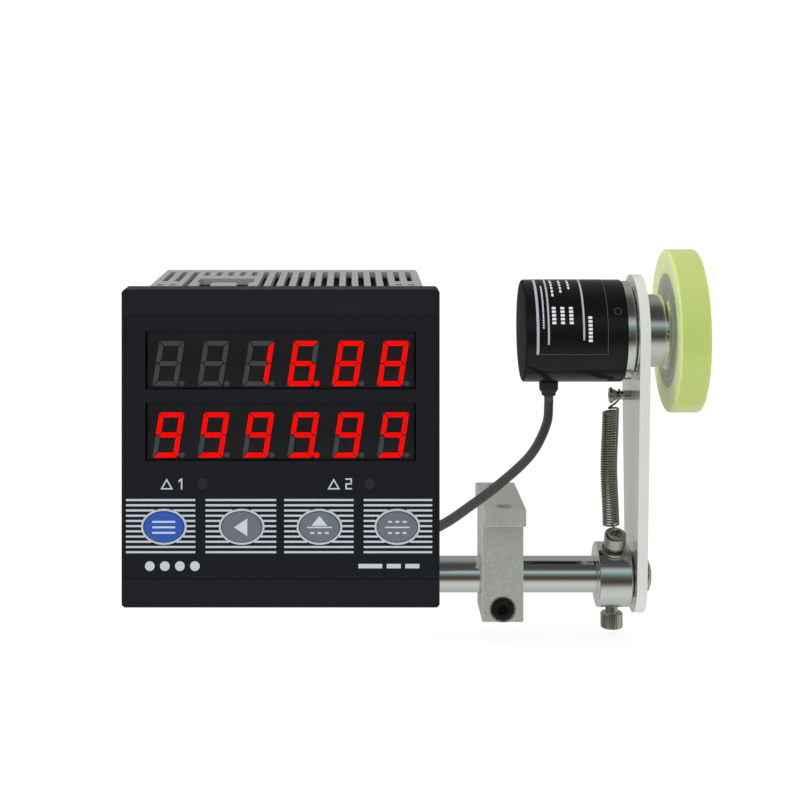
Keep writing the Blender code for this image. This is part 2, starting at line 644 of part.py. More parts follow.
def cable_boot(arm):
    """Strain relief that grips the cable where it leaves the cover; heights run down from the axis."""
    bore, neck, inside = CABLE_RADIUS + GAP, BOOT_NECK_RADIUS, BOOT_COLLAR_RADIUS
    wall_in, wall_out = COVER_RADIUS - COVER_WALL - GAP, COVER_RADIUS + GAP
    outline = [
        (bore, wall_in - 1.6 * MM), (inside, wall_in - 1.6 * MM), (inside, wall_in - 0.8 * MM),
        (neck, wall_in - 0.8 * MM), (neck, wall_out + 0.5 * MM), (3.9 * MM, wall_out + 0.5 * MM),
        (3.7 * MM, wall_out + 2 * MM), (3.2 * MM, wall_out + 2.4 * MM),
        (3.0 * MM, BOOT_TIP), (bore, BOOT_TIP),
    ]
    put(turned("cable_boot", outline, "black_rubber", MEDIUM), encoder_point(BOOT_X), -Z_AXIS, arm)


# ---------------------------------------------------------------- measuring wheel


def wheel_hub(wheel):
    """Aluminium hub: a boss for the shaft, a flare to the rim and a dished outer face."""
    bore = SHAFT_RADIUS + GAP
    rim_inner, dish = 17 * MM, 3 * MM
    outline = [
        (bore, BOSS_LEFT), (BOSS_RADIUS - 0.5 * MM, BOSS_LEFT), (BOSS_RADIUS, BOSS_LEFT + 0.5 * MM),
        (BOSS_RADIUS, WHEEL_LEFT - 1.6 * MM), (BOSS_RADIUS + 0.6 * MM, WHEEL_LEFT - 0.5 * MM),
        (BOSS_RADIUS + 1.8 * MM, WHEEL_LEFT), (HUB_RADIUS, WHEEL_LEFT), (HUB_RADIUS, WHEEL_RIGHT),
        (rim_inner, WHEEL_RIGHT), (rim_inner - 0.5 * MM, WHEEL_RIGHT - dish),
        (BOSS_RADIUS * 0.6, WHEEL_RIGHT - dish), (BOSS_RADIUS * 0.6, SHAFT_RIGHT), (bore, SHAFT_RIGHT),
    ]
    hub = put(turned("wheel_hub", outline, "brushed_aluminium", FINE), encoder_point(0), X_AXIS, wheel)
    taps = [
        round_cutter(
            f"set_hole_{number}", M4_RADIUS + GAP, 2 * BOSS_RADIUS,
            encoder_point(SET_SCREW_X, angle, BOSS_RADIUS), encoder_outward(angle), wheel, COARSE,
        )
        for number, angle in enumerate(set_screw_angles())
    ]
    boolean(hub, taps)


def set_screw_angles():
    return [math.radians(35), math.radians(155)]


def set_screws(wheel):
    for number, angle in enumerate(set_screw_angles()):
        grub_screw(
            f"wheel_set_screw_{number + 1}", encoder_point(SET_SCREW_X, angle, BOSS_RADIUS - 0.6 * MM),
            encoder_outward(angle), M4_RADIUS, BOSS_RADIUS - SHAFT_RADIUS - 0.6 * MM - GAP, wheel,
        )


def wheel_tyre(wheel):
    """Polyurethane tyre cast round the hub; its circumference is the measure."""
    outline = tube_outline(HUB_RADIUS + GAP, WHEEL_RADIUS, WHEEL_LEFT, WHEEL_RIGHT, 0.5 * MM)
    put(turned("wheel_tyre", outline, "polyurethane", FINE), encoder_point(0), X_AXIS, wheel)


# ---------------------------------------------------------------- spring and cable


def arc(centre, first, second, radius, start, end, steps):
    """Points on a circle through the directions first and second."""
    points = []
    for step in range(steps + 1):
        angle = start + (end - start) * step / steps
        points.append(centre + (first * math.cos(angle) + second * math.sin(angle)) * radius)
    return points


def tension_spring():
    """Close coil between two hooks: round the leaning screw's neck below and the arm's post above."""
    lean = encoder_outward(TENSION_TILT)
    rear = Vector((0, math.cos(TENSION_TILT), math.sin(TENSION_TILT)))
    neck_height = COLLAR_RADIUS + GAP + WASHER_THICK + TENSION_NECK / 2
    neck = rod_point(COLLAR_SCREW_X) + lean * neck_height
    hook_radius = M5_RADIUS + WIRE_RADIUS + GAP
    lower_hook = arc(neck, X_AXIS, rear, hook_radius, -math.pi, math.radians(75), 10)

    coil = []
    for step in range(SPRING_TURNS * TURN_STEPS + 1):
        part = step / (SPRING_TURNS * TURN_STEPS)
        bow = -0.5 * MM * math.sin(math.pi * part)
        angle = math.pi / 2 + TURN * SPRING_TURNS * part
        coil.append(rod_point(
            SPRING_X + bow + SPRING_RADIUS * math.cos(angle),
            SPRING_RADIUS * math.sin(angle) - 0.6 * MM * (1 - part),
            SPRING_BOTTOM + (SPRING_TOP - SPRING_BOTTOM) * part,
        ))

    post = rod_point(POST_WAIST_LEFT + 1 * MM, 0, POST_RISE)
    loop_radius = POST_NECK_RADIUS + WIRE_RADIUS + GAP
    upper_hook = arc(post, Y_AXIS, Z_AXIS, loop_radius, math.radians(-60), math.radians(210), 10)
    swept("tension_spring", lower_hook + coil + upper_hook, WIRE_RADIUS, "nickel")


def bezier_points(knots, steps):
    """A smooth path through the knots, with tangents taken from each knot's neighbours."""
    points = []
    for index in range(len(knots) - 1):
        start, end = knots[index], knots[index + 1]
        before, after = knots[max(index - 1, 0)], knots[min(index + 2, len(knots) - 1)]
        leave, arrive = (end - before) / 2, (after - start) / 2
        for step in range(steps):
            t = step / steps
            points.append(
                start * (2 * t**3 - 3 * t**2 + 1) + leave * (t**3 - 2 * t**2 + t)
                + end * (3 * t**2 - 2 * t**3) + arrive * (t**3 - t**2)
            )
    return points + [knots[-1]]


def encoder_cable():
    """Cable from the encoder down past the clamp block and back up to the counter's terminals."""
    rear = counter_point(0, HOUSING_END + 6.5 * MM, 0)
    knots = [
        encoder_point(BOOT_X, math.pi, 13 * MM),
        encoder_point(BOOT_X, math.pi, 26 * MM),
        encoder_point(BOOT_X, math.pi, 29 * MM),
        rod_point(17.6 * MM, -6 * MM, 60 * MM),
        rod_point(10 * MM, -21 * MM, 51.5 * MM),
        rod_point(-2.7 * MM, -32 * MM, 43 * MM),
        rod_point(-15 * MM, -43 * MM, 37 * MM),
        rod_point(-27 * MM, -60 * MM, 34 * MM),
        rod_point(-46 * MM, -95 * MM, 36 * MM),
        rod_point(-63 * MM, -135 * MM, 52 * MM),
        rear + Vector((3 * MM, 30 * MM, -10 * MM)),
        rear,
    ]
    swept("encoder_cable", bezier_points(knots, 5), CABLE_RADIUS, "black_rubber", 2)


# ---------------------------------------------------------------- counter


def panel_box(name, width, height, front, rear, x=0.0, z=0.0, finish=None, edge=0.0):
    """A box inside the counter, between two depths."""
    solid = box(name, (width, rear - front, height), finish, edge)
    return put(solid, counter_point(x, (front + rear) / 2, z))


def bezel_blank():
    """The bezel's outer block. Its rear edges stay sharp, because the rear face seats on the panel."""
    bm = bmesh.new()
    bmesh.ops.create_cube(bm, size=1)
    bmesh.ops.scale(bm, vec=(BEZEL_SIDE, BEZEL_DEPTH, BEZEL_SIDE), verts=bm.verts)
    softened = [edge for edge in bm.edges if min(vert.co.y for vert in edge.verts) < 0]
    bmesh.ops.bevel(bm, geom=softened, offset=BEZEL_EDGE, segments=1, affect="EDGES")
    return put(add_mesh("counter_bezel", bm, "charcoal_plastic"), counter_point(0, BEZEL_DEPTH / 2, 0))


def counter_bezel():
    """Bezel with a pocket for the film, a recess for the housing's front and a tongue inside it."""
    bezel = bezel_blank()
    recess_side = HOUSING_SIDE + 2 * GAP
    recess_front = BEZEL_DEPTH - BEZEL_RECESS
    recess = panel_box("housing_recess", recess_side, recess_side, recess_front, BEZEL_DEPTH + OVERCUT)
    tongue = panel_box("bezel_tongue", TONGUE_SIDE, TONGUE_SIDE, CHAMBER_END, TONGUE_END)
    pocket = panel_box(
        "film_pocket", FILM_WIDTH + 2 * GAP, FILM_HEIGHT + 2 * GAP, -OVERCUT,
        FILM_DEPTH + FILM_THICK + GAP, z=FILM_LIFT,
    )
    ledge = 1.5 * MM
    opening = panel_box(
        "bezel_opening", FILM_WIDTH - 3 * ledge, FILM_HEIGHT - 2 * ledge, -OVERCUT, CHAMBER_END, z=FILM_LIFT
    )
    inner = TONGUE_SIDE - 2 * TONGUE_WALL
    hollow = panel_box("tongue_hollow", inner, inner, CHAMBER_END - 1 * MM, TONGUE_END + OVERCUT)
    boolean(bezel, [recess])
    boolean(bezel, [tongue], "UNION")
    boolean(bezel, [pocket, opening, hollow])


def key_x(number):
    return (number - (len(KEY_NAMES) - 1) / 2) * KEY_PITCH


def oval(name, half_width, half_height, front, rear, x, finish=None):
    """An oval key or its opening, between two depths."""
    outline = [
        (half_width * math.cos(TURN * step / MEDIUM), half_height * math.sin(TURN * step / MEDIUM))
        for step in range(MEDIUM)
    ]
    solid = prism(name, outline, rear - front, finish)
    solid.rotation_euler = (-math.pi / 2, 0, 0)
    solid.location = counter_point(x, front, KEY_Z)
    return solid


def front_film():
    """Printed front film, with openings for the displays, the keys and the alarm lamps."""
    rear = FILM_DEPTH + FILM_THICK
    film = panel_box("front_film", FILM_WIDTH, FILM_HEIGHT, FILM_DEPTH, rear, z=FILM_LIFT, finish="film")
    windows = [
        panel_box(f"window_{name}", WINDOW_WIDTH, WINDOW_HEIGHT, -OVERCUT, OVERCUT, z=height)
        for name, height in WINDOW_Z.items()
    ]
    ovals = [
        oval(f"key_opening_{name}", KEY_HALF_WIDTH + KEY_CLEARANCE, KEY_HALF_HEIGHT + KEY_CLEARANCE,
             -OVERCUT, OVERCUT, key_x(number))
        for number, name in enumerate(KEY_NAMES)
    ]
    eyes = [
        round_cutter(f"lamp_eye_{number}", LAMP_RADIUS + GAP, OVERCUT, counter_point(x, rear, LAMP_Z),
                     Y_AXIS, steps=COARSE)
        for number, x in enumerate(LAMP_X)
    ]
    boolean(film, [*windows, *ovals, *eyes])


def displays():
    """Dark filter behind the film, the two rows of LED digits, and the board that carries them."""
    filter_front = FILM_DEPTH + FILM_THICK + GAP
    filter_rear = filter_front + 1.2 * MM
    middle = (WINDOW_Z["upper"] + WINDOW_Z["lower"]) / 2
    tall = WINDOW_Z["upper"] - WINDOW_Z["lower"] + WINDOW_HEIGHT
    panel_box("display_filter", WINDOW_WIDTH - 1 * MM, tall, filter_front, filter_rear, z=middle,
              finish="dark_acrylic")
    for name, height in WINDOW_Z.items():
        panel_box(f"led_display_{name}", WINDOW_WIDTH - 1 * MM, WINDOW_HEIGHT - 0.5 * MM,
                  filter_rear + GAP, DISPLAY_BOARD_DEPTH - GAP, z=height, finish="led_module")
    panel_box("display_board", 60 * MM, 55 * MM, DISPLAY_BOARD_DEPTH, DISPLAY_BOARD_DEPTH + 1.6 * MM,
              z=FILM_LIFT, finish="circuit_board")


def keys_and_switches():
    """Four oval keys with a stem each, over four tact switches on the display board."""
    cap_rear, stem_rear, travel_room = 3.2 * MM, 5.4 * MM, 1 * MM
    for number, name in enumerate(KEY_NAMES):
        x = key_x(number)
        finish = "blue_key" if name == "set" else "grey_key"
        key = oval(f"key_{name}", KEY_HALF_WIDTH, KEY_HALF_HEIGHT, -KEY_PROUD, cap_rear, x, finish)
        stem = round_cutter(
            f"key_stem_{name}", 1.5 * MM, stem_rear, counter_point(x, stem_rear / 2, KEY_Z), Y_AXIS,
            steps=COARSE,
        )
        boolean(key, [stem], "UNION")
        front = stem_rear + travel_room
        switch = panel_box(f"tact_switch_{number + 1}", 6 * MM, 6 * MM, front + 0.7 * MM,
                           DISPLAY_BOARD_DEPTH - GAP, x, KEY_Z, "black_steel")
        plunger = round_cutter(
            f"plunger_{number + 1}", 1.7 * MM, 2 * MM, counter_point(x, front + 1 * MM, KEY_Z), Y_AXIS,
            steps=COARSE,
        )
        boolean(switch, [plunger], "UNION")


def alarm_lamps():
    for number, x in enumerate(LAMP_X):
        front, shoulder, rear = 0.4 * MM, 3 * MM, DISPLAY_BOARD_DEPTH - GAP
        outline = [
            (0, front), (LAMP_RADIUS * 0.7, front + 0.3 * MM), (LAMP_RADIUS, front + 1 * MM),
            (LAMP_RADIUS, rear - shoulder), (LAMP_RADIUS + 0.3 * MM, rear - shoulder),
            (LAMP_RADIUS + 0.3 * MM, rear), (0, rear),
        ]
        lamp = turned(f"alarm_lamp_{number + 1}", outline, "lamp", COARSE)
        put(lamp, counter_point(x, 0, LAMP_Z), Y_AXIS)


def vent_slots():
    """Vent slots of one housing face: a row of columns, shortened where the latch opening lies."""
    places = []
    middle = (VENT_COLUMNS - 1) / 2
    latch_columns = range(3, 8)
    for column in range(VENT_COLUMNS):
        x = (column - middle) * VENT_PITCH
        front = 54 * MM if column in latch_columns else VENT_FRONT
        if column in (0, 1, VENT_COLUMNS - 2, VENT_COLUMNS - 1):
            front = 40 * MM
            for dot in (16 * MM, 24 * MM, 32 * MM):
                places.append(((x, dot, 0), (VENT_WIDTH, 3.5 * MM, 3 * HOUSING_WALL)))
        places.append(((x, (front + VENT_REAR) / 2, 0), (VENT_WIDTH, VENT_REAR - front, 3 * HOUSING_WALL)))
    return places


def latch_opening():
    """A U-shaped opening, as its cross bar and its two legs, that leaves a springy tongue for a clip."""
    x = -VENT_PITCH * 5
    bar_depth, bar_long, leg_width, leg_long = 42 * MM, 14 * MM, 3 * MM, 26 * MM
    leg_offset = 4.6 * MM
    deep = 3 * HOUSING_WALL
    bar = [((x, bar_depth, 0), (bar_long, 10 * MM, deep))]
    legs = [
        ((x + side * leg_offset, bar_depth - leg_long / 2, 0), (leg_width, leg_long, deep))
        for side in (-1, 1)
    ]
    return bar, legs


def counter_housing():
    """Moulded case behind the bezel, open in front and at the terminals, vented above and below."""
    front = BEZEL_DEPTH - BEZEL_RECESS + GAP
    inner = HOUSING_SIDE - 2 * HOUSING_WALL
    housing = panel_box("counter_housing", HOUSING_SIDE, HOUSING_SIDE, front, HOUSING_END,
                        finish="grey_plastic", edge=0.6 * MM)
    hollow = panel_box("housing_hollow", inner, inner, 0, HOUSING_END - HOUSING_WALL)
    rear = panel_box("terminal_opening", 58.6 * MM, 40.6 * MM, HOUSING_END - 2 * HOUSING_WALL,
                     HOUSING_END + OVERCUT)
    cutters = [hollow, rear]
    for name, side in (("top", 1), ("bottom", -1)):
        bar, legs = latch_opening()
        tools = [
            boxes(f"vents_{name}", vent_slots()),
            boxes(f"latch_bar_{name}", bar),
            boxes(f"latch_legs_{name}", legs),
        ]
        for tool in tools:
            tool.location = counter_point(0, 0, side * (HOUSING_SIDE - HOUSING_WALL) / 2)
        cutters += tools
    boolean(housing, cutters)


def terminal_block():
    """Rear terminal block with two rows of wire mouths and screw wells."""
    front, rear = HOUSING_END - 12 * MM, HOUSING_END + 6 * MM
    block = panel_box("terminal_block", 58 * MM, 40 * MM, front, rear, finish="terminal_green")
    wells = []
    columns, pitch, deep = 7, 7.62 * MM, 5 * MM
    for column in range(columns):
        x = (column - (columns - 1) / 2) * pitch
        for z in (-12 * MM, 12 * MM):
            wells.append(((x, rear, z), (5.4 * MM, deep, 5.4 * MM)))
    tool = boxes("terminal_wells", wells)
    tool.location = counter_point(0, 0, 0)
    boolean(block, [tool])


def counter_inside():
    """The processor and power boards with their tall parts."""
    front, rear = 14 * MM, HOUSING_END - 13 * MM
    panel_box("main_board", 1.6 * MM, 56 * MM, front, rear, 28 * MM, 0, "circuit_board")
    panel_box("power_board", 1.6 * MM, 56 * MM, front, rear, -28 * MM, 0, "circuit_board")
    panel_box("transformer", 18 * MM, 22 * MM, 22 * MM, 46 * MM, -17.5 * MM, -6 * MM, "winding", 0.8 * MM)
    for number, z in enumerate((14 * MM, -10 * MM)):
        panel_box(f"relay_{number + 1}", 12 * MM, 16 * MM, 30 * MM, 49 * MM, 20.5 * MM, z,
                  "relay_blue", 0.4 * MM)


# ---------------------------------------------------------------- assembly


def build_measuring_set():
    clear_scene()
    arm = Pivot("arm_axis", rod_point(PLATE_LEFT))
    wheel = Pivot("wheel_axis", encoder_point(WHEEL_LEFT), arm)
    clamp_block()
    support_rod()
    pivot_collar()
    collar_screws()
    pivot_bolt()
    arm_plate(arm)
    mount_screws(arm)
    spring_post(arm)
    encoder_cover(arm)
    cover_screws(arm)
    encoder_flange(arm)
    encoder_inside(arm, wheel)
    cable_boot(arm)
    wheel_hub(wheel)
    set_screws(wheel)
    wheel_tyre(wheel)
    tension_spring()
    encoder_cable()
    counter_bezel()
    front_film()
    displays()
    keys_and_switches()
    alarm_lamps()
    counter_housing()
    terminal_block()
    counter_inside()


build_measuring_set()
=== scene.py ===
"""Looks of the length-measuring wheel set: fine surfaces, prints, lamps, materials, light and camera."""

import math

import bmesh
import bpy
from mathutils import Matrix, Vector


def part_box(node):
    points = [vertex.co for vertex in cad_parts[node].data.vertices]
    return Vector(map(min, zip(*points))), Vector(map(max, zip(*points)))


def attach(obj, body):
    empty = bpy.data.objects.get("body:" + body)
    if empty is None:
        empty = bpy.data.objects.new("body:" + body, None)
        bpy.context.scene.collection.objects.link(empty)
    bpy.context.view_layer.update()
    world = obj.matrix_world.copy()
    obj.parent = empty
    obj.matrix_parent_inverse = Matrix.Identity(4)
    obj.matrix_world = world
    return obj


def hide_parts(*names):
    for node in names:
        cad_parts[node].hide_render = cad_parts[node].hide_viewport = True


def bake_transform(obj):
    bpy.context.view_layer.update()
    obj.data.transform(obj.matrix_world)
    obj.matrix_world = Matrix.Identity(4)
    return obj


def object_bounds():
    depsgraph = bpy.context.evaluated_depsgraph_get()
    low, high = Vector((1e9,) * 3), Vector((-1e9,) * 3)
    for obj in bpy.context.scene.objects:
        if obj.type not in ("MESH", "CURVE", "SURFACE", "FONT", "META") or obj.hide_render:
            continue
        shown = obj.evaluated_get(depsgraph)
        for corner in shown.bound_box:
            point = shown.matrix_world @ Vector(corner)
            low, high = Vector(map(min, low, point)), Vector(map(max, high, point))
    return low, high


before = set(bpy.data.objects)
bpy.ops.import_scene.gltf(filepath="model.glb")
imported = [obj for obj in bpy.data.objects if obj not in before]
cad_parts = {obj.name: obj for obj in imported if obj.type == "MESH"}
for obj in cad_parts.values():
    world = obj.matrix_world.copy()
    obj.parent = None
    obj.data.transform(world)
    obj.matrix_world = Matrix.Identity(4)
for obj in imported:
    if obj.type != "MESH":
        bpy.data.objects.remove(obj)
cad_low, cad_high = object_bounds()

MM = 0.001
TURN = 2 * math.pi
X_AXIS, Y_AXIS, Z_AXIS = Vector((1, 0, 0)), Vector((0, 1, 0)), Vector((0, 0, 1))
ROUND = 96
SHARP = math.radians(32)


# ---- places and sizes from the frame
# Places are vectors in metres. Sizes, outlines and heights are numbers in millimetres.


def centre(node):
    low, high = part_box(node)
    return (low + high) / 2


def centred(node, **parts):
    """A node's centre, with some of its parts x, y and z replaced."""
    middle = centre(node)
    for axis, value in parts.items():
        setattr(middle, axis, value)
    return middle


def half_size(node):
    """Half of a node's box, in mm."""
    low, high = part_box(node)
    return (high - low) / 2 / MM


ROD_AXIS = centre("support_rod")
ENCODER_AXIS = centre("wheel_tyre")
COVER_LEFT, COVER_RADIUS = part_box("encoder_cover")[0].x, half_size("encoder_cover").z
TENSION_LEAN = math.radians(28)
FILM_LOW, FILM_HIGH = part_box("front_film")
FACE = centred("counter_bezel", y=FILM_LOW.y)


def on_rod(x):
    return Vector((x, ROD_AXIS.y, ROD_AXIS.z))


def on_encoder(x):
    return Vector((x, ENCODER_AXIS.y, ENCODER_AXIS.z))


def spaced(start, end, steps):
    """Even steps from a start to an end, both included."""
    return [start + (end - start) * step / steps for step in range(steps + 1)]


def left_end(node):
    """The middle of a node's left side."""
    return centred(node, x=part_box(node)[0].x)


def on_film(node):
    """The point of the counter's printed face that lies in front of a node."""
    return centred(node, y=FILM_LOW.y)


def outward(angle):
    """Direction square to X; the angle turns from straight up towards the front."""
    return Vector((0, -math.sin(angle), math.cos(angle)))


def from_encoder_axis(node):
    middle = centre(node)
    return middle - on_encoder(middle.x)


# ---- node materials


class Nodes:
    """Builds a node tree with short calls. An input takes a number, a tuple or another node's socket."""

    def __init__(self, tree, coordinate):
        self.tree = tree
        self.position = self.node("TexCoord").outputs[coordinate]

    def put(self, value, socket):
        if isinstance(value, bpy.types.NodeSocket):
            self.tree.links.new(value, socket)
        else:
            socket.default_value = (*value, 1) if socket.type == "RGBA" else value

    def node(self, kind, inputs=None, **settings):
        """Adds a node; its inputs are given by name or by number."""
        made = self.tree.nodes.new(f"ShaderNode{kind}")
        for key, value in settings.items():
            setattr(made, key, value)
        for key, value in (inputs or {}).items():
            self.put(value, made.inputs[key])
        return made

    def noise(self, scale, detail, roughness=0.6):
        """Noise from 0 to 1 whose grain is one over the scale, in metres; a tuple scales each axis."""
        if not isinstance(scale, tuple):
            scale = (scale, scale, scale)
        stretched = self.node("Mapping", {"Vector": self.position, "Scale": scale}).outputs["Vector"]
        inputs = {"Vector": stretched, "Scale": 1, "Detail": detail, "Roughness": roughness}
        return self.node("TexNoise", inputs).outputs["Fac"]

    def spread(self, value, low, high, start=0.3, end=0.7):
        """Maps a value's range start..end onto low..high."""
        inputs = {"Value": value, "From Min": start, "From Max": end, "To Min": low, "To Max": high}
        return self.node("MapRange", inputs).outputs["Result"]

    def mix(self, factor, first, second):
        """Mixes two colours."""
        return self.node("Mix", {"Factor": factor, 6: first, 7: second}, data_type="RGBA").outputs[2]

    def bump(self, height, strength, distance, under=None):
        inputs = {"Height": height, "Strength": strength, "Distance": distance * MM}
        if under:
            inputs["Normal"] = under
        return self.node("Bump", inputs).outputs["Normal"]

    def maths(self, operation, *values):
        """One step of arithmetic."""
        return self.node("Math", dict(enumerate(values)), operation=operation).outputs["Value"]

    def parts(self, vector):
        """A vector's three parts, by the names X, Y and Z."""
        return self.node("SeparateXYZ", {"Vector": vector}).outputs


class Finish(Nodes):
    """A material's node tree, in the object's own coordinates."""

    def __init__(self, name):
        self.material = bpy.data.materials.new(name)
        self.material.use_nodes = True
        super().__init__(self.material.node_tree, "Object")

    def set(self, **values):
        """Gives the main shader its inputs, and returns the finished material."""
        for key, value in values.items():
            self.put(value, self.tree.nodes["Principled BSDF"].inputs[key.replace("_", " ")])
        return self.material


def tinted(colour, share):
    """A colour made brighter or darker by a share, and never above white."""
    return tuple(min(1.0, part * share) for part in colour)


def mottled(
    name, colour, change=0.05, metallic=0.0, roughness=(0.35, 0.5), grain=2600, relief=0.05,
    patch=60, lines=None, specular=0.5,
):
    """A solid finish: slow patches of colour, and a fine grain in its bump and roughness. Lines, as
    (scale, relief), add streaks to the bump and take over the roughness."""
    nodes = Finish(name)
    patches = nodes.noise(patch, 4)
    uneven = nodes.noise(grain, 3)
    normal = nodes.bump(uneven, relief, 0.05)
    if lines:
        uneven = nodes.noise(lines[0], 2)
        normal = nodes.bump(uneven, lines[1], 0.02, normal)
    return nodes.set(
        Base_Color=nodes.mix(patches, tinted(colour, 1 - change), tinted(colour, 1 + change)),
        Metallic=metallic, Roughness=nodes.spread(uneven, *roughness), Normal=normal,
        Specular_IOR_Level=specular,
    )


def painted_edge_highlight_finish(name, colour, bright, metallic, roughness, grain, relief):
    """A speckled finish whose edges are painted bright, a painted highlight: they are where a rounded
    normal turns away from the face's own."""
    nodes = Finish(name)
    fine = nodes.noise(grain, 4, 0.7)
    rounded_normal = nodes.node("Bevel", {"Radius": 0.5 * MM}, samples=4).outputs["Normal"]
    own_normal = nodes.node("NewGeometry").outputs["True Normal"]
    turn = nodes.node("VectorMath", {0: rounded_normal, 1: own_normal}, operation="DOT_PRODUCT")
    # mask of the edges that take the painted highlight colour
    edge = nodes.spread(turn.outputs["Value"], 1, 0, 0.75, 0.98)
    body = nodes.mix(nodes.noise(90, 3), tinted(colour, 0.95), tinted(colour, 1.04))
    body = nodes.mix(nodes.spread(fine, 0, 1, 0.52, 0.72), body, tinted(colour, 1.35))
    body = nodes.mix(nodes.spread(fine, 1, 0, 0.28, 0.46), body, tinted(colour, 0.70))
    return nodes.set(
        Base_Color=nodes.mix(edge, body, bright), Metallic=metallic,
        Roughness=nodes.spread(fine, *roughness), Normal=nodes.bump(fine, relief, 0.05),
    )


def polyurethane():
    """Cast polyurethane: smooth and cloudy. Its sides and the places where it is seen along its face are
    painted paler, and it has a faint painted glow: painted light for light that scatters inside it."""
    nodes = Finish("polyurethane")
    across = nodes.parts(nodes.node("NewGeometry").outputs["Normal"])["X"]
    # painted light: the tyre's sides are painted paler
    side = nodes.spread(nodes.maths("ABSOLUTE", across), 0.0, 1.0, 0.5, 0.95)
    tread = nodes.mix(nodes.noise(38, 2, 0.4), (0.40, 0.50, 0.11), (0.53, 0.62, 0.25))
    # painted sheen: paler where the face is seen at a grazing angle
    facing = nodes.node("LayerWeight", {"Blend": 0.5}).outputs["Facing"]
    tread = nodes.mix(nodes.spread(facing, 0, 0.75, 0.55, 1.0), tread, (0.72, 0.80, 0.42))
    return nodes.set(
        Base_Color=nodes.mix(side, tread, (0.70, 0.79, 0.36)),
        Roughness=nodes.spread(nodes.noise(1400, 2), 0.12, 0.17), IOR=1.45,
        Subsurface_Weight=0.6, Subsurface_Scale=2 * MM, Subsurface_Radius=(1.0, 1.0, 0.4),
        # a faint painted glow, though the tyre is no lamp
        Emission_Color=(0.5, 0.6, 0.2), Emission_Strength=0.10,
    )


def glowing(name, colour, strength):
    """A lit segment, whose light varies a little with the diffuser's grain."""
    nodes = Finish(name)
    uneven = nodes.spread(nodes.noise(2500, 2), strength * 0.92, strength * 1.08)
    return nodes.set(
        Base_Color=(0.25, 0.0, 0.0), Roughness=0.4, Specular_IOR_Level=0.0,
        Emission_Color=colour, Emission_Strength=uneven,
    )


def tinted_clear(name, tint, roughness):
    """A thin clear sheet: tinted light goes straight through, and its face reflects."""
    nodes = Finish(name)
    uneven = nodes.spread(nodes.noise(1500, 2), roughness * 0.8, roughness * 1.2)
    layers = {
        0: nodes.node("Fresnel", {"IOR": 1.08}).outputs["Fac"],
        1: nodes.node("BsdfTransparent", {"Color": tint}).outputs["BSDF"],
        2: nodes.node("BsdfGlossy", {"Roughness": uneven}).outputs["BSDF"],
    }
    surface = nodes.node("MixShader", layers).outputs["Shader"]
    nodes.put(surface, nodes.tree.nodes["Material Output"].inputs["Surface"])
    return nodes.material


# name, colour, change of colour, metallic, roughness, grain, relief
# here the third value is the painted highlight colour on the block's edges, not a change of colour
BLASTED = painted_edge_highlight_finish(
    "blasted_aluminium", (0.43, 0.445, 0.405), (0.84, 0.86, 0.82), 0.30, (0.34, 0.56), 1900, 0.6
)
BRUSHED = mottled(
    "brushed_aluminium", (0.82, 0.83, 0.79), 0.03, 0.75, (0.11, 0.17), 1500, 0.004,
    lines=((400, 9000, 60), 0.015),
)
SATIN_EDGE = mottled("satin_edge", (0.74, 0.75, 0.72), 0.03, 0.12, (0.30, 0.42), 1700, 0.02)
TURNED_ALUMINIUM = mottled(
    "turned_aluminium", (0.80, 0.81, 0.77), 0.03, 1.0, (0.07, 0.12), 1500, 0.006,
    lines=((9000, 120, 120), 0.03),
)
CHROME = mottled(
    "polished_steel", (0.90, 0.91, 0.91), 0.02, 1.0, (0.05, 0.09), 900, 0.006,
    lines=((5000, 60, 60), 0.02),
)
NICKEL = mottled("nickel_plate", (0.62, 0.605, 0.54), 0.05, 1.0, (0.10, 0.18), 1800, 0.015)
SPRING_STEEL = mottled("spring_steel", (0.50, 0.48, 0.40), 0.10, 1.0, (0.12, 0.20), 2200, 0.01, 240)
BLACK_OXIDE = mottled("black_oxide", (0.022, 0.022, 0.024), 0.15, 0.7, (0.30, 0.45), 2400, 0.12)
BRONZE = mottled("sintered_bronze", (0.55, 0.36, 0.16), 0.08, 1.0, (0.35, 0.5), 3000, 0.2)
HUB_FACE = mottled("hub_face", (0.52, 0.53, 0.47), 0.04, 0.45, (0.32, 0.42), 1500, 0.02)
COVER_BLACK = mottled("cover_black", (0.007,) * 3, 0.10, 0, (0.12, 0.18), 1100, 0.006, specular=0.25)
CAP_BLACK = mottled("cap_black", (0.009,) * 3, 0.10, 0, (0.45, 0.55), 1800, 0.02, specular=0.02)
LABEL_BLACK = mottled("label_black", (0.006,) * 3, 0.10, 0, (0.16, 0.24), 1600, 0.006, specular=0.25)
LABEL_EDGE = mottled("label_edge", (0.10, 0.09, 0.075), 0.2, 0, (0.3, 0.45), 2600, 0.02)
PRINT_WHITE = mottled("print_white", (0.78, 0.79, 0.82))
PRINT_LILAC = mottled("print_lilac", (0.42, 0.42, 0.50))
CABLE_BLACK = mottled("cable_black", (0.056, 0.060, 0.054), 0.12, 0, (0.28, 0.42), 1900, 0.06)
BOOT_BLACK = mottled("boot_rubber", (0.016, 0.018, 0.018), 0.12, 0, (0.42, 0.58), 2600, 0.12)
BEZEL_PLASTIC = mottled(
    "bezel_plastic", (0.0105, 0.0130, 0.0165), 0.08, 0, (0.38, 0.5), 2800, 0.14, specular=0.2
)
HOUSING_PLASTIC = mottled("housing_plastic", (0.36, 0.365, 0.37), 0.05, 0, (0.38, 0.5), 2600, 0.16)
FILM = mottled("printed_film", (0.0095, 0.0118, 0.0148), 0.06, 0, (0.34, 0.46), 3200, 0.1, specular=0.2)
MODULE_FACE = mottled("module_face", (0.0105, 0.0115, 0.0135), 0.08)
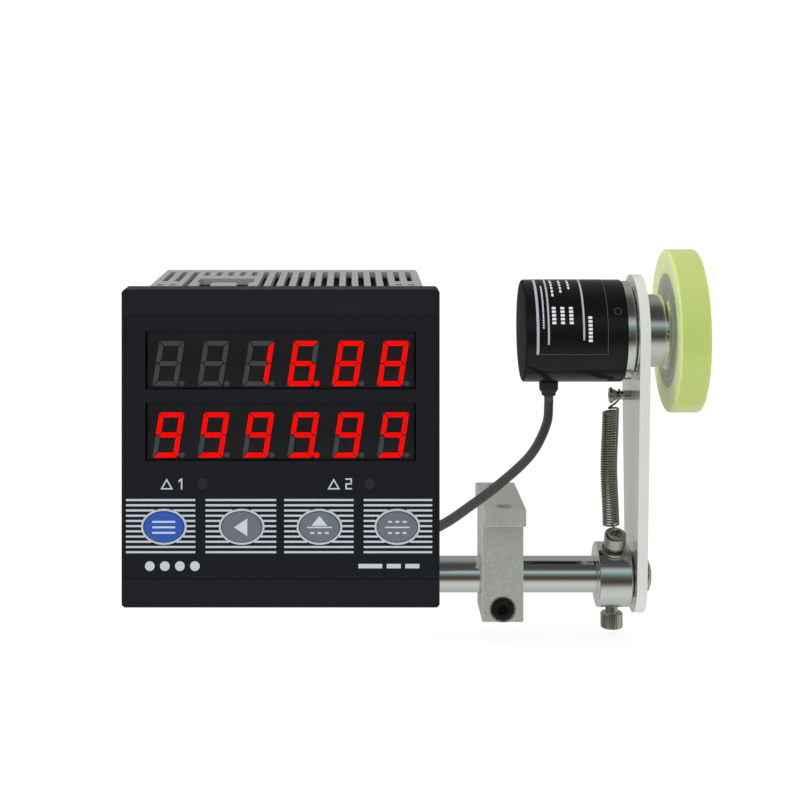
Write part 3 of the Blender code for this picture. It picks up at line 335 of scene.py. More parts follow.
DARK_SEGMENT = mottled("dark_segment", (0.078, 0.078, 0.080), 0.10, 0, (0.4, 0.55), 2500, 0.05, 900)
LIT_SEGMENT = glowing("lit_segment", (1.0, 0.003, 0.002), 1.25)
STRIPE_SILVER = mottled("stripe_silver", (0.52, 0.56, 0.62), relief=0.06)
RING_SILVER = mottled("ring_silver", (0.50, 0.54, 0.60), 0.05, 0, (0.25, 0.4), 2200, 0.05)
KEY_BLUE = mottled("key_blue", (0.013, 0.086, 0.43), 0.08, 0, (0.32, 0.42), 1800, 0.06)
KEY_GREY = mottled("key_grey", (0.135, 0.155, 0.175), 0.06, 0, (0.34, 0.46), 1800, 0.06)
LEGEND = mottled("key_legend", (0.56, 0.60, 0.65), 0.04)
LAMP_DARK = mottled("lamp_dark", (0.015, 0.015, 0.017), 0.10, 0, (0.40, 0.55), 1500)
BOARD_GREEN = mottled("solder_mask", (0.012, 0.10, 0.035), 0.18, 0, (0.25, 0.4), 1200, 0.15)
TERMINAL = mottled("terminal_plastic", (0.012, 0.10, 0.045), 0.08, 0, (0.38, 0.5), 2600, 0.15)
RELAY = mottled("relay_case", (0.012, 0.045, 0.18), 0.08, 0, (0.3, 0.42), 2200, 0.1)
WINDING = mottled(
    "taped_winding", (0.42, 0.30, 0.05), 0.12, 0, (0.3, 0.5), 1500, 0.2, lines=((90, 2600, 90), 0.4)
)
DISC = mottled("etched_disc", (0.45, 0.5, 0.5), 0.05, 0.6, (0.1, 0.2), 2200)
WIRE_TINTS = {
    "red": (0.45, 0.02, 0.015), "white": (0.62, 0.62, 0.60), "green": (0.02, 0.22, 0.05),
    "black": (0.02, 0.02, 0.02),
}
WIRES = {
    name: mottled(f"wire_{name}", tint, 0.06, 0, (0.3, 0.45), 2400) for name, tint in WIRE_TINTS.items()
}
FILTER = tinted_clear("display_filter", (0.92, 0.92, 0.93), 0.16)
PU = polyurethane()


# ---- mesh helpers


def placed(name, data):
    """A new object in the scene."""
    made = bpy.data.objects.new(name, data)
    bpy.context.scene.collection.objects.link(made)
    return made


def mesh_object(name, bm):
    """An object of a finished mesh, its faces turned outwards."""
    bmesh.ops.recalc_face_normals(bm, faces=bm.faces)
    mesh = bpy.data.meshes.new(name)
    bm.to_mesh(mesh)
    bm.free()
    return placed(name, mesh)


def shade(mesh, sharp=SHARP):
    """Smooth shading, but for the edges that turn by more than an angle."""
    mesh.shade_smooth()
    mesh.set_sharp_from_angle(angle=sharp)


def add_piece(name, bm, material, body, slot, stands_for=(), sharp=SHARP):
    """Makes a piece of a mesh in world coordinates, with a body to ride on unless it is given none."""
    piece = mesh_object(name, bm)
    shade(piece.data, sharp)
    piece.data.materials.append(material)
    if body:
        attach(piece, body)
    if stands_for:
        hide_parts(*stands_for)
    return piece


def soften(piece, width):
    """Rounds a piece's sharp edges."""
    bevel = piece.modifiers.new("edges", "BEVEL")
    bevel.width = width * MM
    bevel.segments = 2
    bevel.limit_method = "ANGLE"
    bevel.angle_limit = SHARP
    bevel.harden_normals = True


def repaint(piece, material, chosen):
    """Gives a second material to the faces whose normal is chosen."""
    piece.data.materials.append(material)
    for polygon in piece.data.polygons:
        if chosen(polygon.normal):
            polygon.material_index = 1


def carve(piece, cutter):
    """Cuts a piece by a bmesh of separate closed solids, and keeps the result as its mesh."""
    tool = mesh_object("cutter", cutter)
    cut = piece.modifiers.new("cut", "BOOLEAN")
    cut.object = tool
    bpy.context.view_layer.update()
    result = piece.evaluated_get(bpy.context.evaluated_depsgraph_get())
    piece.data = bpy.data.meshes.new_from_object(result)
    piece.modifiers.remove(cut)
    shade(piece.data)
    bpy.data.objects.remove(tool, do_unlink=True)


def skin_of(node, material, body, slot, edge):
    """A copy of a CAD node's mesh, welded, with its edges rounded and its round faces smoothed."""
    bm = bmesh.new()
    bm.from_mesh(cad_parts[node].data)
    bmesh.ops.remove_doubles(bm, verts=bm.verts, dist=0.002 * MM)
    bmesh.ops.dissolve_limit(bm, angle_limit=math.radians(1), verts=bm.verts, edges=bm.edges)
    soften(add_piece(f"{node}_skin", bm, material, body, slot, (node,)), edge)


def skin_loops(bm, loops, closed=False, capped=False):
    """Joins loops of vertices by faces; a loop of one vertex is a point. Closed also joins the last
    loop to the first, and capped closes the two end loops."""
    pairs = list(zip(loops, loops[1:]))
    if closed:
        pairs.append((loops[-1], loops[0]))
    for first, second in pairs:
        count = max(len(first), len(second))
        for step in range(count):
            following = (step + 1) % count
            corners = [
                first[step % len(first)], first[following % len(first)],
                second[following % len(second)], second[step % len(second)],
            ]
            bm.faces.new(list(dict.fromkeys(corners)))
    if capped:
        bm.faces.new(loops[0])
        bm.faces.new(loops[-1])


def aimed(at, along):
    """Matrix that takes local Z to a direction and the origin to a point."""
    return Matrix.Translation(at) @ along.to_track_quat("Z", "Y").to_matrix().to_4x4()


def hexagon(angle):
    """Radius of a hexagon, as a share of its corner radius."""
    sector = TURN / 6
    return math.cos(sector / 2) / math.cos(angle % sector - sector / 2)


def knurl(angle):
    """Radius of a straight-knurled edge, as a share of its own radius."""
    ridges, depth = 34, 0.022
    return 1 - depth * (0.5 + 0.5 * math.cos(ridges * angle))


def ringed(bm, rings, at, along, steps, closed=False):
    """Skins rings of (radius, height) about an axis. A third item, hexagon or knurl, gives a ring
    another shape, and a ring of no radius is a point."""
    matrix = aimed(at, along)
    loops = []
    for radius, height, *shape in rings:
        loop = []
        for angle in spaced(0, TURN, steps)[:-1] if radius else [0]:
            reach = radius * shape[0](angle) if shape else radius
            point = Vector((reach * math.cos(angle), reach * math.sin(angle), height)) * MM
            loop.append(bm.verts.new(matrix @ point))
        loops.append(loop)
    skin_loops(bm, loops, closed)


def lathed(name, node, rings, at, along, material, body, slot, steps=48):
    """A piece made of rings, in place of a CAD node."""
    bm = bmesh.new()
    ringed(bm, rings, at, along, steps)
    add_piece(name, bm, material, body, slot, (node,))


def rounded(outline, radius):
    """Replaces an outline's inner corners by arcs, as far as their neighbours leave room."""
    slight, share = math.radians(8), 0.45
    points = [Vector(point) for point in outline]
    result = [points[0]]
    for before, corner, after in zip(points, points[1:], points[2:]):
        to_before, to_after = before - corner, after - corner
        turn = math.pi - to_before.angle(to_after)
        if turn < slight:
            result.append(corner)
            continue
        cut = min(radius * math.tan(turn / 2), share * min(to_before.length, to_after.length))
        start, end = corner + to_before.normalized() * cut, corner + to_after.normalized() * cut
        for t in spaced(0, 1, 4):
            result.append(start * (1 - t) ** 2 + corner * 2 * t * (1 - t) + end * t * t)
    result.append(points[-1])
    return result


def turned(name, outline, at, along, material, body, slot, corner, stands_for=(), steps=ROUND):
    """A turned piece with rounded corners. The outline is (radius, height) and runs from the axis
    back to it, or round a closed section when it stays off the axis."""
    closed = outline[0][0] > 0
    if closed:
        middle = (Vector(outline[0]) + Vector(outline[-1])) / 2
        outline = [middle, *outline, middle]
    points = rounded(outline, corner)
    if closed:
        points.pop()
    bm = bmesh.new()
    ringed(bm, points, at, along, steps, closed)
    return add_piece(name, bm, material, body, slot, stands_for)


def ring_section(bore, radius, low, high):
    """The section of a ring, or of a bar when its bore is nothing."""
    return [(bore, low), (radius, low), (radius, high), (bore, high)]


def plain_ring(name, node, bore, axis, material, body, slot, corner, steps=ROUND):
    """A ring or bar in place of a CAD node, with the node's ends and outer radius."""
    half = half_size(node)
    section = ring_section(bore, half.z, 0, 2 * half.x)
    start = axis(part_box(node)[0].x)
    turned(name, section, start, X_AXIS, material, body, slot, corner, (node,), steps)


def socket_screw(name, node, at, along, material, body, slot, sizes):
    """Socket-head cap screw. Sizes are shank radius, reach, neck, head radius, head height and the
    socket's corner radius. The place is where the shank leaves its hole."""
    shank, reach, neck, head, height, socket = sizes
    top, edge, dip = neck + height, 0.35, 0.55 * height
    rings = [
        (0, -reach), (shank * 0.8, -reach), (shank, 0.3 - reach), (shank, neck - 0.2),
        (shank + 0.15, neck), (head - edge, neck), (head, neck + edge, knurl),
        (head, top - 1.6 * edge, knurl), (head * 0.985, top - edge), (head - edge, top - 0.3 * edge),
        (head - 1.6 * edge, top), (socket + 0.25, top), (socket, top - 0.15, hexagon),
        (socket, top - dip, hexagon), (0, top - dip - 0.4),
    ]
    lathed(name, node, rings, at, along, material, body, slot, 136)


def grub_screw(node, radius, length, body):
    """Headless black screw that points away from the encoder's axis, with a hexagon socket outside."""
    top, dip, socket = length / 2, 0.45 * length, radius * 0.55
    rings = [
        (0, -top), (radius * 0.7, -top), (radius, 0.3 - top), (radius, top - 0.25),
        (radius - 0.25, top), (radius * 0.62, top), (socket, top - 0.1, hexagon),
        (socket, top - dip, hexagon), (0, top - dip),
    ]
    along = from_encoder_axis(node).normalized()
    lathed(f"{node}_skin", node, rings, centre(node), along, BLACK_OXIDE, body, "black_steel")


def box_into(bm, low, high, edge=0.0):
    """Adds a box between two places, its edges rounded."""
    made = bmesh.ops.create_cube(bm, size=1)["verts"]
    bmesh.ops.scale(bm, vec=high - low, verts=made)
    bmesh.ops.translate(bm, vec=(low + high) / 2, verts=made)
    if edge:
        edges = list({line for vert in made for line in vert.link_edges})
        bmesh.ops.bevel(
            bm, geom=edges, offset=edge * MM, segments=2, profile=0.5, affect="EDGES", clamp_overlap=True
        )


def prism_into(bm, outline, at, depth, across=X_AXIS):
    """Adds the prism of an outline, which lies along an axis and Z about a place. Its depth is a
    vector in mm."""
    front = [bm.verts.new(at + (across * u + Z_AXIS * v) * MM) for u, v in outline]
    back = [bm.verts.new(vert.co + depth * MM) for vert in front]
    skin_loops(bm, [front, back], capped=True)


def tube_into(bm, points, radius, sides=12):
    """Adds a round tube along a path, its ends closed."""
    loops = []
    tangent = (points[1] - points[0]).normalized()
    side = tangent.orthogonal().normalized()
    for index, point in enumerate(points):
        ahead = (points[min(index + 1, len(points) - 1)] - points[max(index - 1, 0)]).normalized()
        side = (tangent.rotation_difference(ahead) @ side).normalized()
        tangent = ahead
        places = arc(point, side, tangent.cross(side), radius, 0, TURN, sides)[:-1]
        loops.append([bm.verts.new(place) for place in places])
    skin_loops(bm, loops, capped=True)


def arc(middle, first, second, radius, start, end, steps):
    """Places on an arc between two angles, in the plane of two directions."""
    return [
        middle + (first * math.cos(angle) + second * math.sin(angle)) * radius * MM
        for angle in spaced(start, end, steps)
    ]


def hermite(start, leave, end, arrive, t):
    """A point on the curve from one point to another that leaves and arrives by two tangents."""
    return (
        start * (2 * t**3 - 3 * t**2 + 1) + leave * (t**3 - 2 * t**2 + t)
        + end * (3 * t**2 - 2 * t**3) + arrive * (t**3 - t**2)
    )


def smooth_path(knots, steps):
    """Points on a smooth curve through knots."""
    points = []
    for index in range(len(knots) - 1):
        start, end = knots[index], knots[index + 1]
        before, after = knots[max(index - 1, 0)], knots[min(index + 2, len(knots) - 1)]
        for t in spaced(0, 1, steps)[:-1]:
            points.append(hermite(start, (end - before) / 2, end, (after - start) / 2, t))
    return points + [knots[-1]]


# ---- clamp block and rod


def clamp_parts():
    skin_of("clamp_block", BLASTED, "clamp", "cast_aluminium", 0.12)
    mouth = centred("clamp_screw", y=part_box("clamp_screw")[0].y)
    head = 5
    socket_screw(
        "clamp_screw_skin", "clamp_screw", mouth + Y_AXIS * head * MM, -Y_AXIS, BLACK_OXIDE, "clamp",
        "black_steel", (2.5, 19, 0, 4.25, head, 2.3),
    )
    bright_ring("counterbore_ring", mouth, -Y_AXIS, 4.58)
    flange = centred("clamp_block", x=mouth.x, z=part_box("clamp_block")[1].z)
    for side, apart in (("front", -17.6), ("rear", 17.6)):
        bright_ring(f"flange_hole_ring_{side}", flange + Y_AXIS * apart * MM, Z_AXIS, 2.78)


def bright_ring(name, at, along, bore):
    """A hole's bright machined lip, just proud of the blasted face round it."""
    outline = ring_section(bore, bore + 0.45, -0.05, 0.05)
    turned(name, outline, at, along, TURNED_ALUMINIUM, "clamp", "cast_aluminium", 0.04)


def rod_parts():
    radius, outer = half_size("support_rod").z, half_size("pivot_collar").z
    plain_ring("rod_skin", "support_rod", 0, on_rod, CHROME, "frame", "polished_steel", 0.6)
    plain_ring(
        "collar_skin", "pivot_collar", radius + 0.1, on_rod, CHROME, "frame", "polished_steel", 0.7
    )
    plain_ring("pivot_washer_skin", "pivot_washer", 4.3, on_rod, NICKEL, "frame", "nickel", 0.12)

    middle, up = on_rod(centre("collar_lock_screw").x), outward(TENSION_LEAN)
    seat = middle + up * outer * MM
    socket_screw(
        "tension_screw_skin", "collar_tension_screw", seat, up, NICKEL, "frame", "nickel",
        (2.5, 4, 3.2, 4.25, 5, 2.3),
    )
    washer = ring_section(2.6, 4.8, 0.1, 1.2)
    turned(
        "tension_washer_skin", washer, seat, up, NICKEL, "frame", "nickel", 0.2, ("tension_washer",)
    )
    socket_screw(
        "lock_screw_skin", "collar_lock_screw", middle - Z_AXIS * outer * MM, -Z_AXIS, NICKEL,
        "frame", "nickel", (2.5, 4, 2.4, 4.35, 6, 2.3),
    )


def pivot_bolt():
    """Pan head with a rolled edge and a hexagon socket, on its shoulder."""
    radius, top = half_size("pivot_bolt").z, 2 * half_size("pivot_bolt").x
    head, shoulder, thread, socket = 3.1, 4, 3, 2.8
    under, step = top - head, top - head - 5.4
    rings = [
        (0, 0), (thread, 0), (thread, step), (shoulder, step), (shoulder, under),
        (radius - 0.4, under), (radius, under + 0.4),
    ]
    for angle in (math.radians(degrees) for degrees in (0, 15, 30, 45, 60, 70)):
        rings.append((radius * math.cos(angle) ** 0.35, under + 0.9 + (head - 1.2) * math.sin(angle)))
    rings += [
        (radius * 0.6, top - 0.04), (socket + 0.3, top), (socket, top - 0.2, hexagon),
        (socket, top - 1.8, hexagon), (0, top - 2),
    ]
    start = on_rod(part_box("pivot_bolt")[0].x)
    lathed("pivot_bolt_skin", "pivot_bolt", rings, start, X_AXIS, NICKEL, "frame", "nickel", ROUND)


# ---- swing arm

MOUNT_SCREWS = [f"encoder_mount_screw_{number}" for number in (1, 2, 3)]


def arm_parts():
    arm_plate()
    plain_ring("arm_bush_skin", "arm_bush", 4.3, on_rod, BRONZE, "swing_arm", "bronze", 0.1)
    spring_post()
    for node in MOUNT_SCREWS:
        mount_screw(node)


def plate_outline():
    """The arm's side outline as (depth, height above the rod): an arc round each end."""
    low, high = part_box("arm_plate")
    foot, top = (ROD_AXIS.z - low.z) / MM, (high.z - ENCODER_AXIS.z) / MM
    rise = (ENCODER_AXIS.z - ROD_AXIS.z) / MM
    lean = math.asin((top - foot) / rise)
    points = []
    for middle, radius, start, end in (
        (0, foot, math.pi + lean, TURN - lean), (rise, top, -lean, math.pi + lean),
    ):
        for angle in spaced(start, end, 48):
            points.append((radius * math.cos(angle), middle + radius * math.sin(angle)))
    return points


def arm_plate():
    """The arm: its outline pulled to its thickness and bored for bush, encoder, post and screws."""
    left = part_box("arm_plate")[0].x
    thick, reach = 2 * half_size("arm_plate").x, 1
    bm = bmesh.new()
    prism_into(bm, plate_outline(), on_rod(left), X_AXIS * thick, Y_AXIS)
    piece = add_piece("arm_plate_skin", bm, BRUSHED, "swing_arm", "brushed_aluminium", ("arm_plate",))

    drills = [
        ("arm_bush", half_size("arm_bush").z + 0.15, 72), ("wheel_tyre", 10.2, 96),
        ("spring_post", 2.1, 48),
    ]
    shapes = [
        (node, ring_section(0, bore, -reach, thick + reach), steps) for node, bore, steps in drills
    ]
    countersink = [
        (0, -reach), (1.7, -reach), (1.7, thick - 1.6), (3.2, thick - 0.1), (3.2, thick + reach),
        (0, thick + reach),
    ]
    shapes += [(node, countersink, 48) for node in MOUNT_SCREWS]
    bores = bmesh.new()
    for node, rings, steps in shapes:
        ringed(bores, rings, centred(node, x=left), X_AXIS, steps)
    carve(piece, bores)
    soften(piece, 0.25)
    repaint(piece, SATIN_EDGE, lambda normal: abs(normal.x) < 0.5)


def spring_post():
    """Screw with a flared head, a waist that the spring's hook rests in, and a thread."""
    length, head = 2 * half_size("spring_post").x, half_size("spring_post").z
    neck, socket, thread, root = 1.6, 1.3, 2.0, 1.82
    rings = [
        (0, 1.1), (socket, 1.1, hexagon), (socket, 0, hexagon), (head - 0.5, 0), (head, 0.4),
        (head, 0.9), (head - 0.5, 1.5), (neck + 0.2, 3), (neck, 3.4), (neck, 4.8), (thread, 5.6),
    ]
    start, end, pitch = 5.7, 51.4 - left_end("spring_post").x / MM, 0.35
    for ridge in range(math.ceil((end - start) / pitch)):
        height = start + ridge * pitch
        rings += [(thread, height), (root, height + pitch / 2)]
    rings += [(thread, end), (thread, length), (0, length)]
    lathed(
        "spring_post_skin", "spring_post", rings, left_end("spring_post"), X_AXIS, NICKEL, "swing_arm",
        "nickel",
    )


def mount_screw(node):
    """Countersunk screw flush with the arm's outer face."""
    top = 2 * half_size(node).x
    head, shank, socket = 3, 1.5, 1.05
    rings = [
        (0, 0), (shank, 0), (shank, top - 1.7), (head - 0.1, top - 0.15), (head - 0.2, top),
        (socket + 0.15, top), (socket, top - 0.1, hexagon), (socket, top - 1.2, hexagon),
        (0, top - 1.3),
    ]
    lathed(f"{node}_skin", node, rings, left_end(node), X_AXIS, NICKEL, "swing_arm", "nickel")


# ---- encoder


def encoder_parts():
    length, wall, corner = 2 * half_size("encoder_cover").x, 1.2, 1.1
    inner, flat = COVER_RADIUS - wall, COVER_RADIUS - corner
    outline = [(0, 0)]
    for angle in spaced(0, TURN / 4, 8):
        outline.append((flat + corner * math.sin(angle), corner - corner * math.cos(angle)))
    outline += [(COVER_RADIUS, length), (inner, length), (inner, wall), (0, wall)]
    cover = turned(
        "encoder_cover_skin", outline, on_encoder(COVER_LEFT), X_AXIS, COVER_BLACK, "swing_arm",
        "black_enamel", 0.25, ("encoder_cover",), 128,
    )
    repaint(cover, CAP_BLACK, lambda normal: normal.x < -0.5)
    encoder_label()
    encoder_flange(inner - 0.3)

    for number in (1, 2, 3):
        node = f"cover_screw_{number}"
        grub_screw(node, 1.1, 3.2, "swing_arm")
        screw_hole_highlight(f"{node}_recess", node)

    boot = centre("cable_boot").x
    boot_outline = [
        (2.1, -3.4), (4.2, -3.4), (4.2, -2.4), (2.9, -2.4), (2.9, 0.2), (3.75, -0.1), (3.75, 2.8),
        (3.4, 3.6), (2.85, 4.2), (2.75, 5.4), (2.1, 5.5),
    ]
    turned(
        "cable_boot_skin", boot_outline, on_encoder(boot) - Z_AXIS * (COVER_RADIUS + 0.1) * MM, -Z_AXIS,
        BOOT_BLACK, "swing_arm", "black_rubber", 0.3, ("cable_boot",), 64,
    )


def encoder_flange(spigot):
    """The flange: a spigot inside the cover, a rim outside it, a land on the arm and a pilot through it.
    Heights are from the cover's open end."""
    open_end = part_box("encoder_cover")[1].x
    low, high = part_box("encoder_flange")
    start, end = (low.x - open_end) / MM, (high.x - open_end) / MM
    rim, land = half_size("encoder_flange").z, (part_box("arm_plate")[0].x - open_end) / MM - 0.2
    pilot, bore = 10, 7.8
    outline = [
        (bore, start), (pilot, start), (pilot, -4), (spigot, -4), (spigot, 0.3), (rim, 0.3), (rim, 3.5),
        (17, 3.5), (17, land), (pilot, land), (pilot, end), (bore, end),
    ]
    turned(
        "encoder_flange_skin", outline, on_encoder(open_end), X_AXIS, CHROME, "swing_arm",
        "brushed_aluminium", 0.35, ("encoder_flange",), 128,
    )


def screw_hole_highlight(name, node):
    """Thin lighter lip round a cover screw's hole: a painted highlight on its rim."""
    along = from_encoder_axis(node).normalized()
    at = on_encoder(centre(node).x) + along * (COVER_RADIUS - 0.08) * MM
    section = ring_section(1.25, 1.45, 0, 0.12)
    # the lip's lighter colour is a painted highlight
    turned(name, section, at, along, LABEL_EDGE, "swing_arm", "black_steel", 0.05, steps=40)


def curved_patch(name, left, right, start, end, radius, material, thick=0.03, steps=40):
    """A thin patch wrapped on the encoder's cover between two distances from its left end and two
    angles."""
    bm = bmesh.new()
    corners = ((left, radius), (right, radius), (right, radius + thick), (left, radius + thick))
    loops = []
    for angle in spaced(start, end, steps):
        loops.append([
            bm.verts.new(on_encoder(COVER_LEFT + x * MM) + outward(angle) * reach * MM)
            for x, reach in corners
        ])
    skin_loops(bm, loops, capped=True)
    add_piece(name, bm, material, "swing_arm", "black_enamel")


def encoder_label():
    """The cover's sticker: a dark patch with a thin border, three rules and rows of plain dashes."""
    start, end = math.radians(-60), math.radians(110)
    left, right, film = 4, 31.6, 0.06
    lowest = COVER_RADIUS + 0.01
    curved_patch("label_film", left, right, start, end, lowest, LABEL_BLACK, film)
    base = lowest + film
    curved_patch("label_border_right", right - 0.35, right - 0.17, start, end, base, LABEL_EDGE)
    curved_patch("label_border_foot", left, right - 0.3, end - 0.012, end - 0.003, base, LABEL_EDGE)
    for number, (x, reach, width) in enumerate(((4.5, 1.0, 1.0), (8.6, 0.93, 0.72), (22.1, 0.90, 0.72))):
        curved_patch(
            f"label_rule_{number + 1}", x - width / 2, x + width / 2, start,
            start + (end - start) * reach, base, PRINT_LILAC,
        )
    # distance, width of the row, first and last angle, and step from dash to dash in degrees
    rows = (
        (6.7, 0.55, 24, 82, 2.6), (10.8, 1.5, 56, 80, 4.2), (14.1, 1.5, 56, 80, 4.2),
        (17.4, 1.5, 56, 80, 4.2), (10.8, 0.8, 8, 44, 6.0), (14.1, 0.8, 8, 38, 6.0),
        (17.4, 0.8, 8, 32, 6.0), (24.6, 1.5, 67, 99, 4.2),
    )
    for row, (x, tall, begin, finish, step) in enumerate(rows):
        for mark in range(int((finish - begin) / step)):
            angle = math.radians(begin + mark * step)
            curved_patch(
                f"label_dash_{row + 1}_{mark + 1}", x - tall / 2, x + tall / 2, angle,
                angle + math.radians(step * 0.66), base, PRINT_WHITE, steps=3,
            )


# ---- measuring wheel


def wheel_parts():
    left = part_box("wheel_hub")[0].x
    web, face = [(corner.x - left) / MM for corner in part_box("wheel_tyre")]
    hub, end = half_size("wheel_hub").z, 2 * half_size("wheel_hub").x - 2
    boss, bore = 14.2, 3.05
    outline = [
        (bore, 0), (boss - 0.3, 0), (boss, 0.6), (boss, web - 2.2), (boss + 0.35, web - 1.3),
        (boss + 1.1, web - 0.5), (boss + 2.2, web), (hub - 2.6, web), (hub - 2.5, web + 0.25),
        (hub - 2.1, web + 0.25), (hub - 2, web), (hub, web), (hub, face), (17, face), (16.5, face - 3),
        (8.5, face - 3), (8.5, end), (bore, end),
    ]
    wheel = turned(
        "wheel_hub_skin", outline, on_encoder(left), X_AXIS, TURNED_ALUMINIUM, "measuring_wheel",
        "brushed_aluminium", 0.3, ("wheel_hub",), 128,
    )
    repaint(wheel, HUB_FACE, lambda normal: normal.x < -0.9)
    plain_ring(
        "wheel_tyre_skin", "wheel_tyre", hub + 0.05, on_encoder, PU, "measuring_wheel", "polyurethane",
        0.8, 160,
    )
    plain_ring(
        "encoder_shaft_skin", "encoder_shaft", 0, on_encoder, CHROME, "measuring_wheel",
        "polished_steel", 0.4, 64,
    )
    for node in ("wheel_set_screw_1", "wheel_set_screw_2"):
        grub_screw(node, 2, 2 * from_encoder_axis(node).length / MM - 7, "measuring_wheel")


# ---- spring and cable


def tension_spring():
    """Close-wound coil, bowed a little, hooked round the leaning screw and the arm's post."""
    wire, radius, tall, turns, per_turn = 0.41, 2.98, 45.4, 46, 20
    foot = Vector((43.7 * MM, ROD_AXIS.y, ROD_AXIS.z + 19.4 * MM))
    coil = []
    for part in spaced(0, 1, turns * per_turn):
        angle = math.pi / 2 + TURN * turns * part
        bow = -0.7 * math.sin(math.pi * part) + 0.1 * math.sin(3 * math.pi * part)
        slope = 0.22 * part ** 6 * radius * math.cos(angle)
        coil.append(foot + MM * Vector((
            bow + radius * math.cos(angle), radius * math.sin(angle) - 0.6 * (1 - part),
            tall * part + slope,
        )))
    neck = on_rod(centre("collar_lock_screw").x) + outward(TENSION_LEAN) * 14.75 * MM
    rear = Vector((0, math.cos(TENSION_LEAN), math.sin(TENSION_LEAN)))
    lower = arc(neck, X_AXIS, rear, 3.2, math.radians(-190), math.radians(60), 28)
    waist = left_end("spring_post") + X_AXIS * 4 * MM
    upper = arc(waist, Y_AXIS, Z_AXIS, 2.15, math.radians(-50), math.radians(215), 30)
    bm = bmesh.new()
    tube_into(bm, [*lower, *lead(lower, coil), *coil, *lead(coil, upper), *upper], wire, 10)
    piece = add_piece(
        "tension_spring_skin", bm, SPRING_STEEL, None, "nickel", ("tension_spring",), math.pi
    )
    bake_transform(piece)


def lead(first, second):
    """The smooth way from one run's last point to another's first."""
    start, end = first[-1], second[0]
    gap = (end - start).length
    out, into = (start - first[-2]).normalized() * gap, (second[1] - end).normalized() * gap
    return [hermite(start, out, end, into, t) for t in spaced(0, 1, 10)[1:-1]]


def encoder_cable():
    """The CAD cable's own path, rounded: its mesh welded and subdivided."""
    bm = bmesh.new()
    bm.from_mesh(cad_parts["encoder_cable"].data)
    bmesh.ops.remove_doubles(bm, verts=bm.verts, dist=0.01 * MM)
    bmesh.ops.join_triangles(
        bm, faces=bm.faces, angle_face_threshold=math.radians(30), angle_shape_threshold=math.radians(60)
    )
    piece = add_piece(
        "encoder_cable_skin", bm, CABLE_BLACK, None, "black_rubber", ("encoder_cable",), math.pi
    )
    smooth = piece.modifiers.new("smooth", "SUBSURF")
    smooth.levels = smooth.render_levels = 2
    centred("cable_boot", z=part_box("cable_boot")[0].z)
    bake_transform(piece)


# ---- counter

KEYS = ("key_set", "key_shift", "key_up", "key_reset")
KEY_WIDE, KEY_TALL = half_size("key_set").x, half_size("key_set").z
LAMPS = ("alarm_lamp_1", "alarm_lamp_2")
DIGIT_BARS = {"1": "bc", "6": "acdefg", "8": "abcdefg", "9": "abcdfg", " ": ""}
READINGS = {"upper": "  16.88", "lower": "9999.99"}


def oval(half_width, half_height, steps):
    angles = spaced(0, TURN, steps)[:-1]
    return [(half_width * math.cos(angle), half_height * math.sin(angle)) for angle in angles]


def bar(left, right, bottom, top):
    return [(left, bottom), (right, bottom), (right, top), (left, top)]


def shifted(outline, across, up):
    return [(u + across, v + up) for u, v in outline]


def printed(name, shapes, at, material=STRIPE_SILVER, body="frame", proud=0.03, thick=0.025):
    """A print of outlines about a point of a face, standing just proud of it."""
    bm = bmesh.new()
    for outline in shapes:
        prism_into(bm, outline, at - Y_AXIS * proud * MM, Y_AXIS * thick)
    add_piece(name, bm, material, body, "film")


def counter_case():
    skin_of("counter_bezel", BEZEL_PLASTIC, "frame", "charcoal_plastic", 0.3)
    skin_of("counter_housing", HOUSING_PLASTIC, "frame", "grey_plastic", 0.12)
    front_film()
    window_panes()
    terminals()


def window_corners():
    """The lowest and highest corners of the two windows, as deep as the film."""
    corners = []
    for module in (f"led_display_{row}" for row in READINGS):
        reach = Vector((half_size("display_filter").x + 0.5, 0, half_size(module).z + 0.25)) * MM
        corners.append((on_film(module) - reach, centred(module, y=FILM_HIGH.y) + reach))
    return corners


def window_panes():
    """Two clear panes set flush in the film's windows, standing for the filter behind it."""
    bm = bmesh.new()
    inset = Vector((0.02, -0.01, 0.02)) * MM
    for start, end in window_corners():
        box_into(bm, start + inset, end - inset, 0.03)
    add_piece("window_panes", bm, FILTER, "frame", "dark_acrylic", ("display_filter",))


def front_film():
    """The printed film: a thin sheet cut out for displays, keys and lamps."""
    bm = bmesh.new()
    creep = Vector((0.25, 0, 0.25)) * MM
    box_into(bm, FILM_LOW - creep, FILM_HIGH + creep)
    film = add_piece("front_film_skin", bm, FILM, "frame", "film", ("front_film",))
    cutter = bmesh.new()
    reach = Y_AXIS * 2
    for start, end in window_corners():
        box_into(cutter, start - reach * MM, end + reach * MM)
    holes = [(key, oval(KEY_WIDE + 0.15, KEY_TALL + 0.15, 64)) for key in KEYS]
    holes += [(lamp, oval(1.38, 1.38, 40)) for lamp in LAMPS]
    for node, outline in holes:
        prism_into(cutter, outline, on_film(node) - reach * MM, 2 * reach)
    carve(film, cutter)
    soften(film, 0.06)


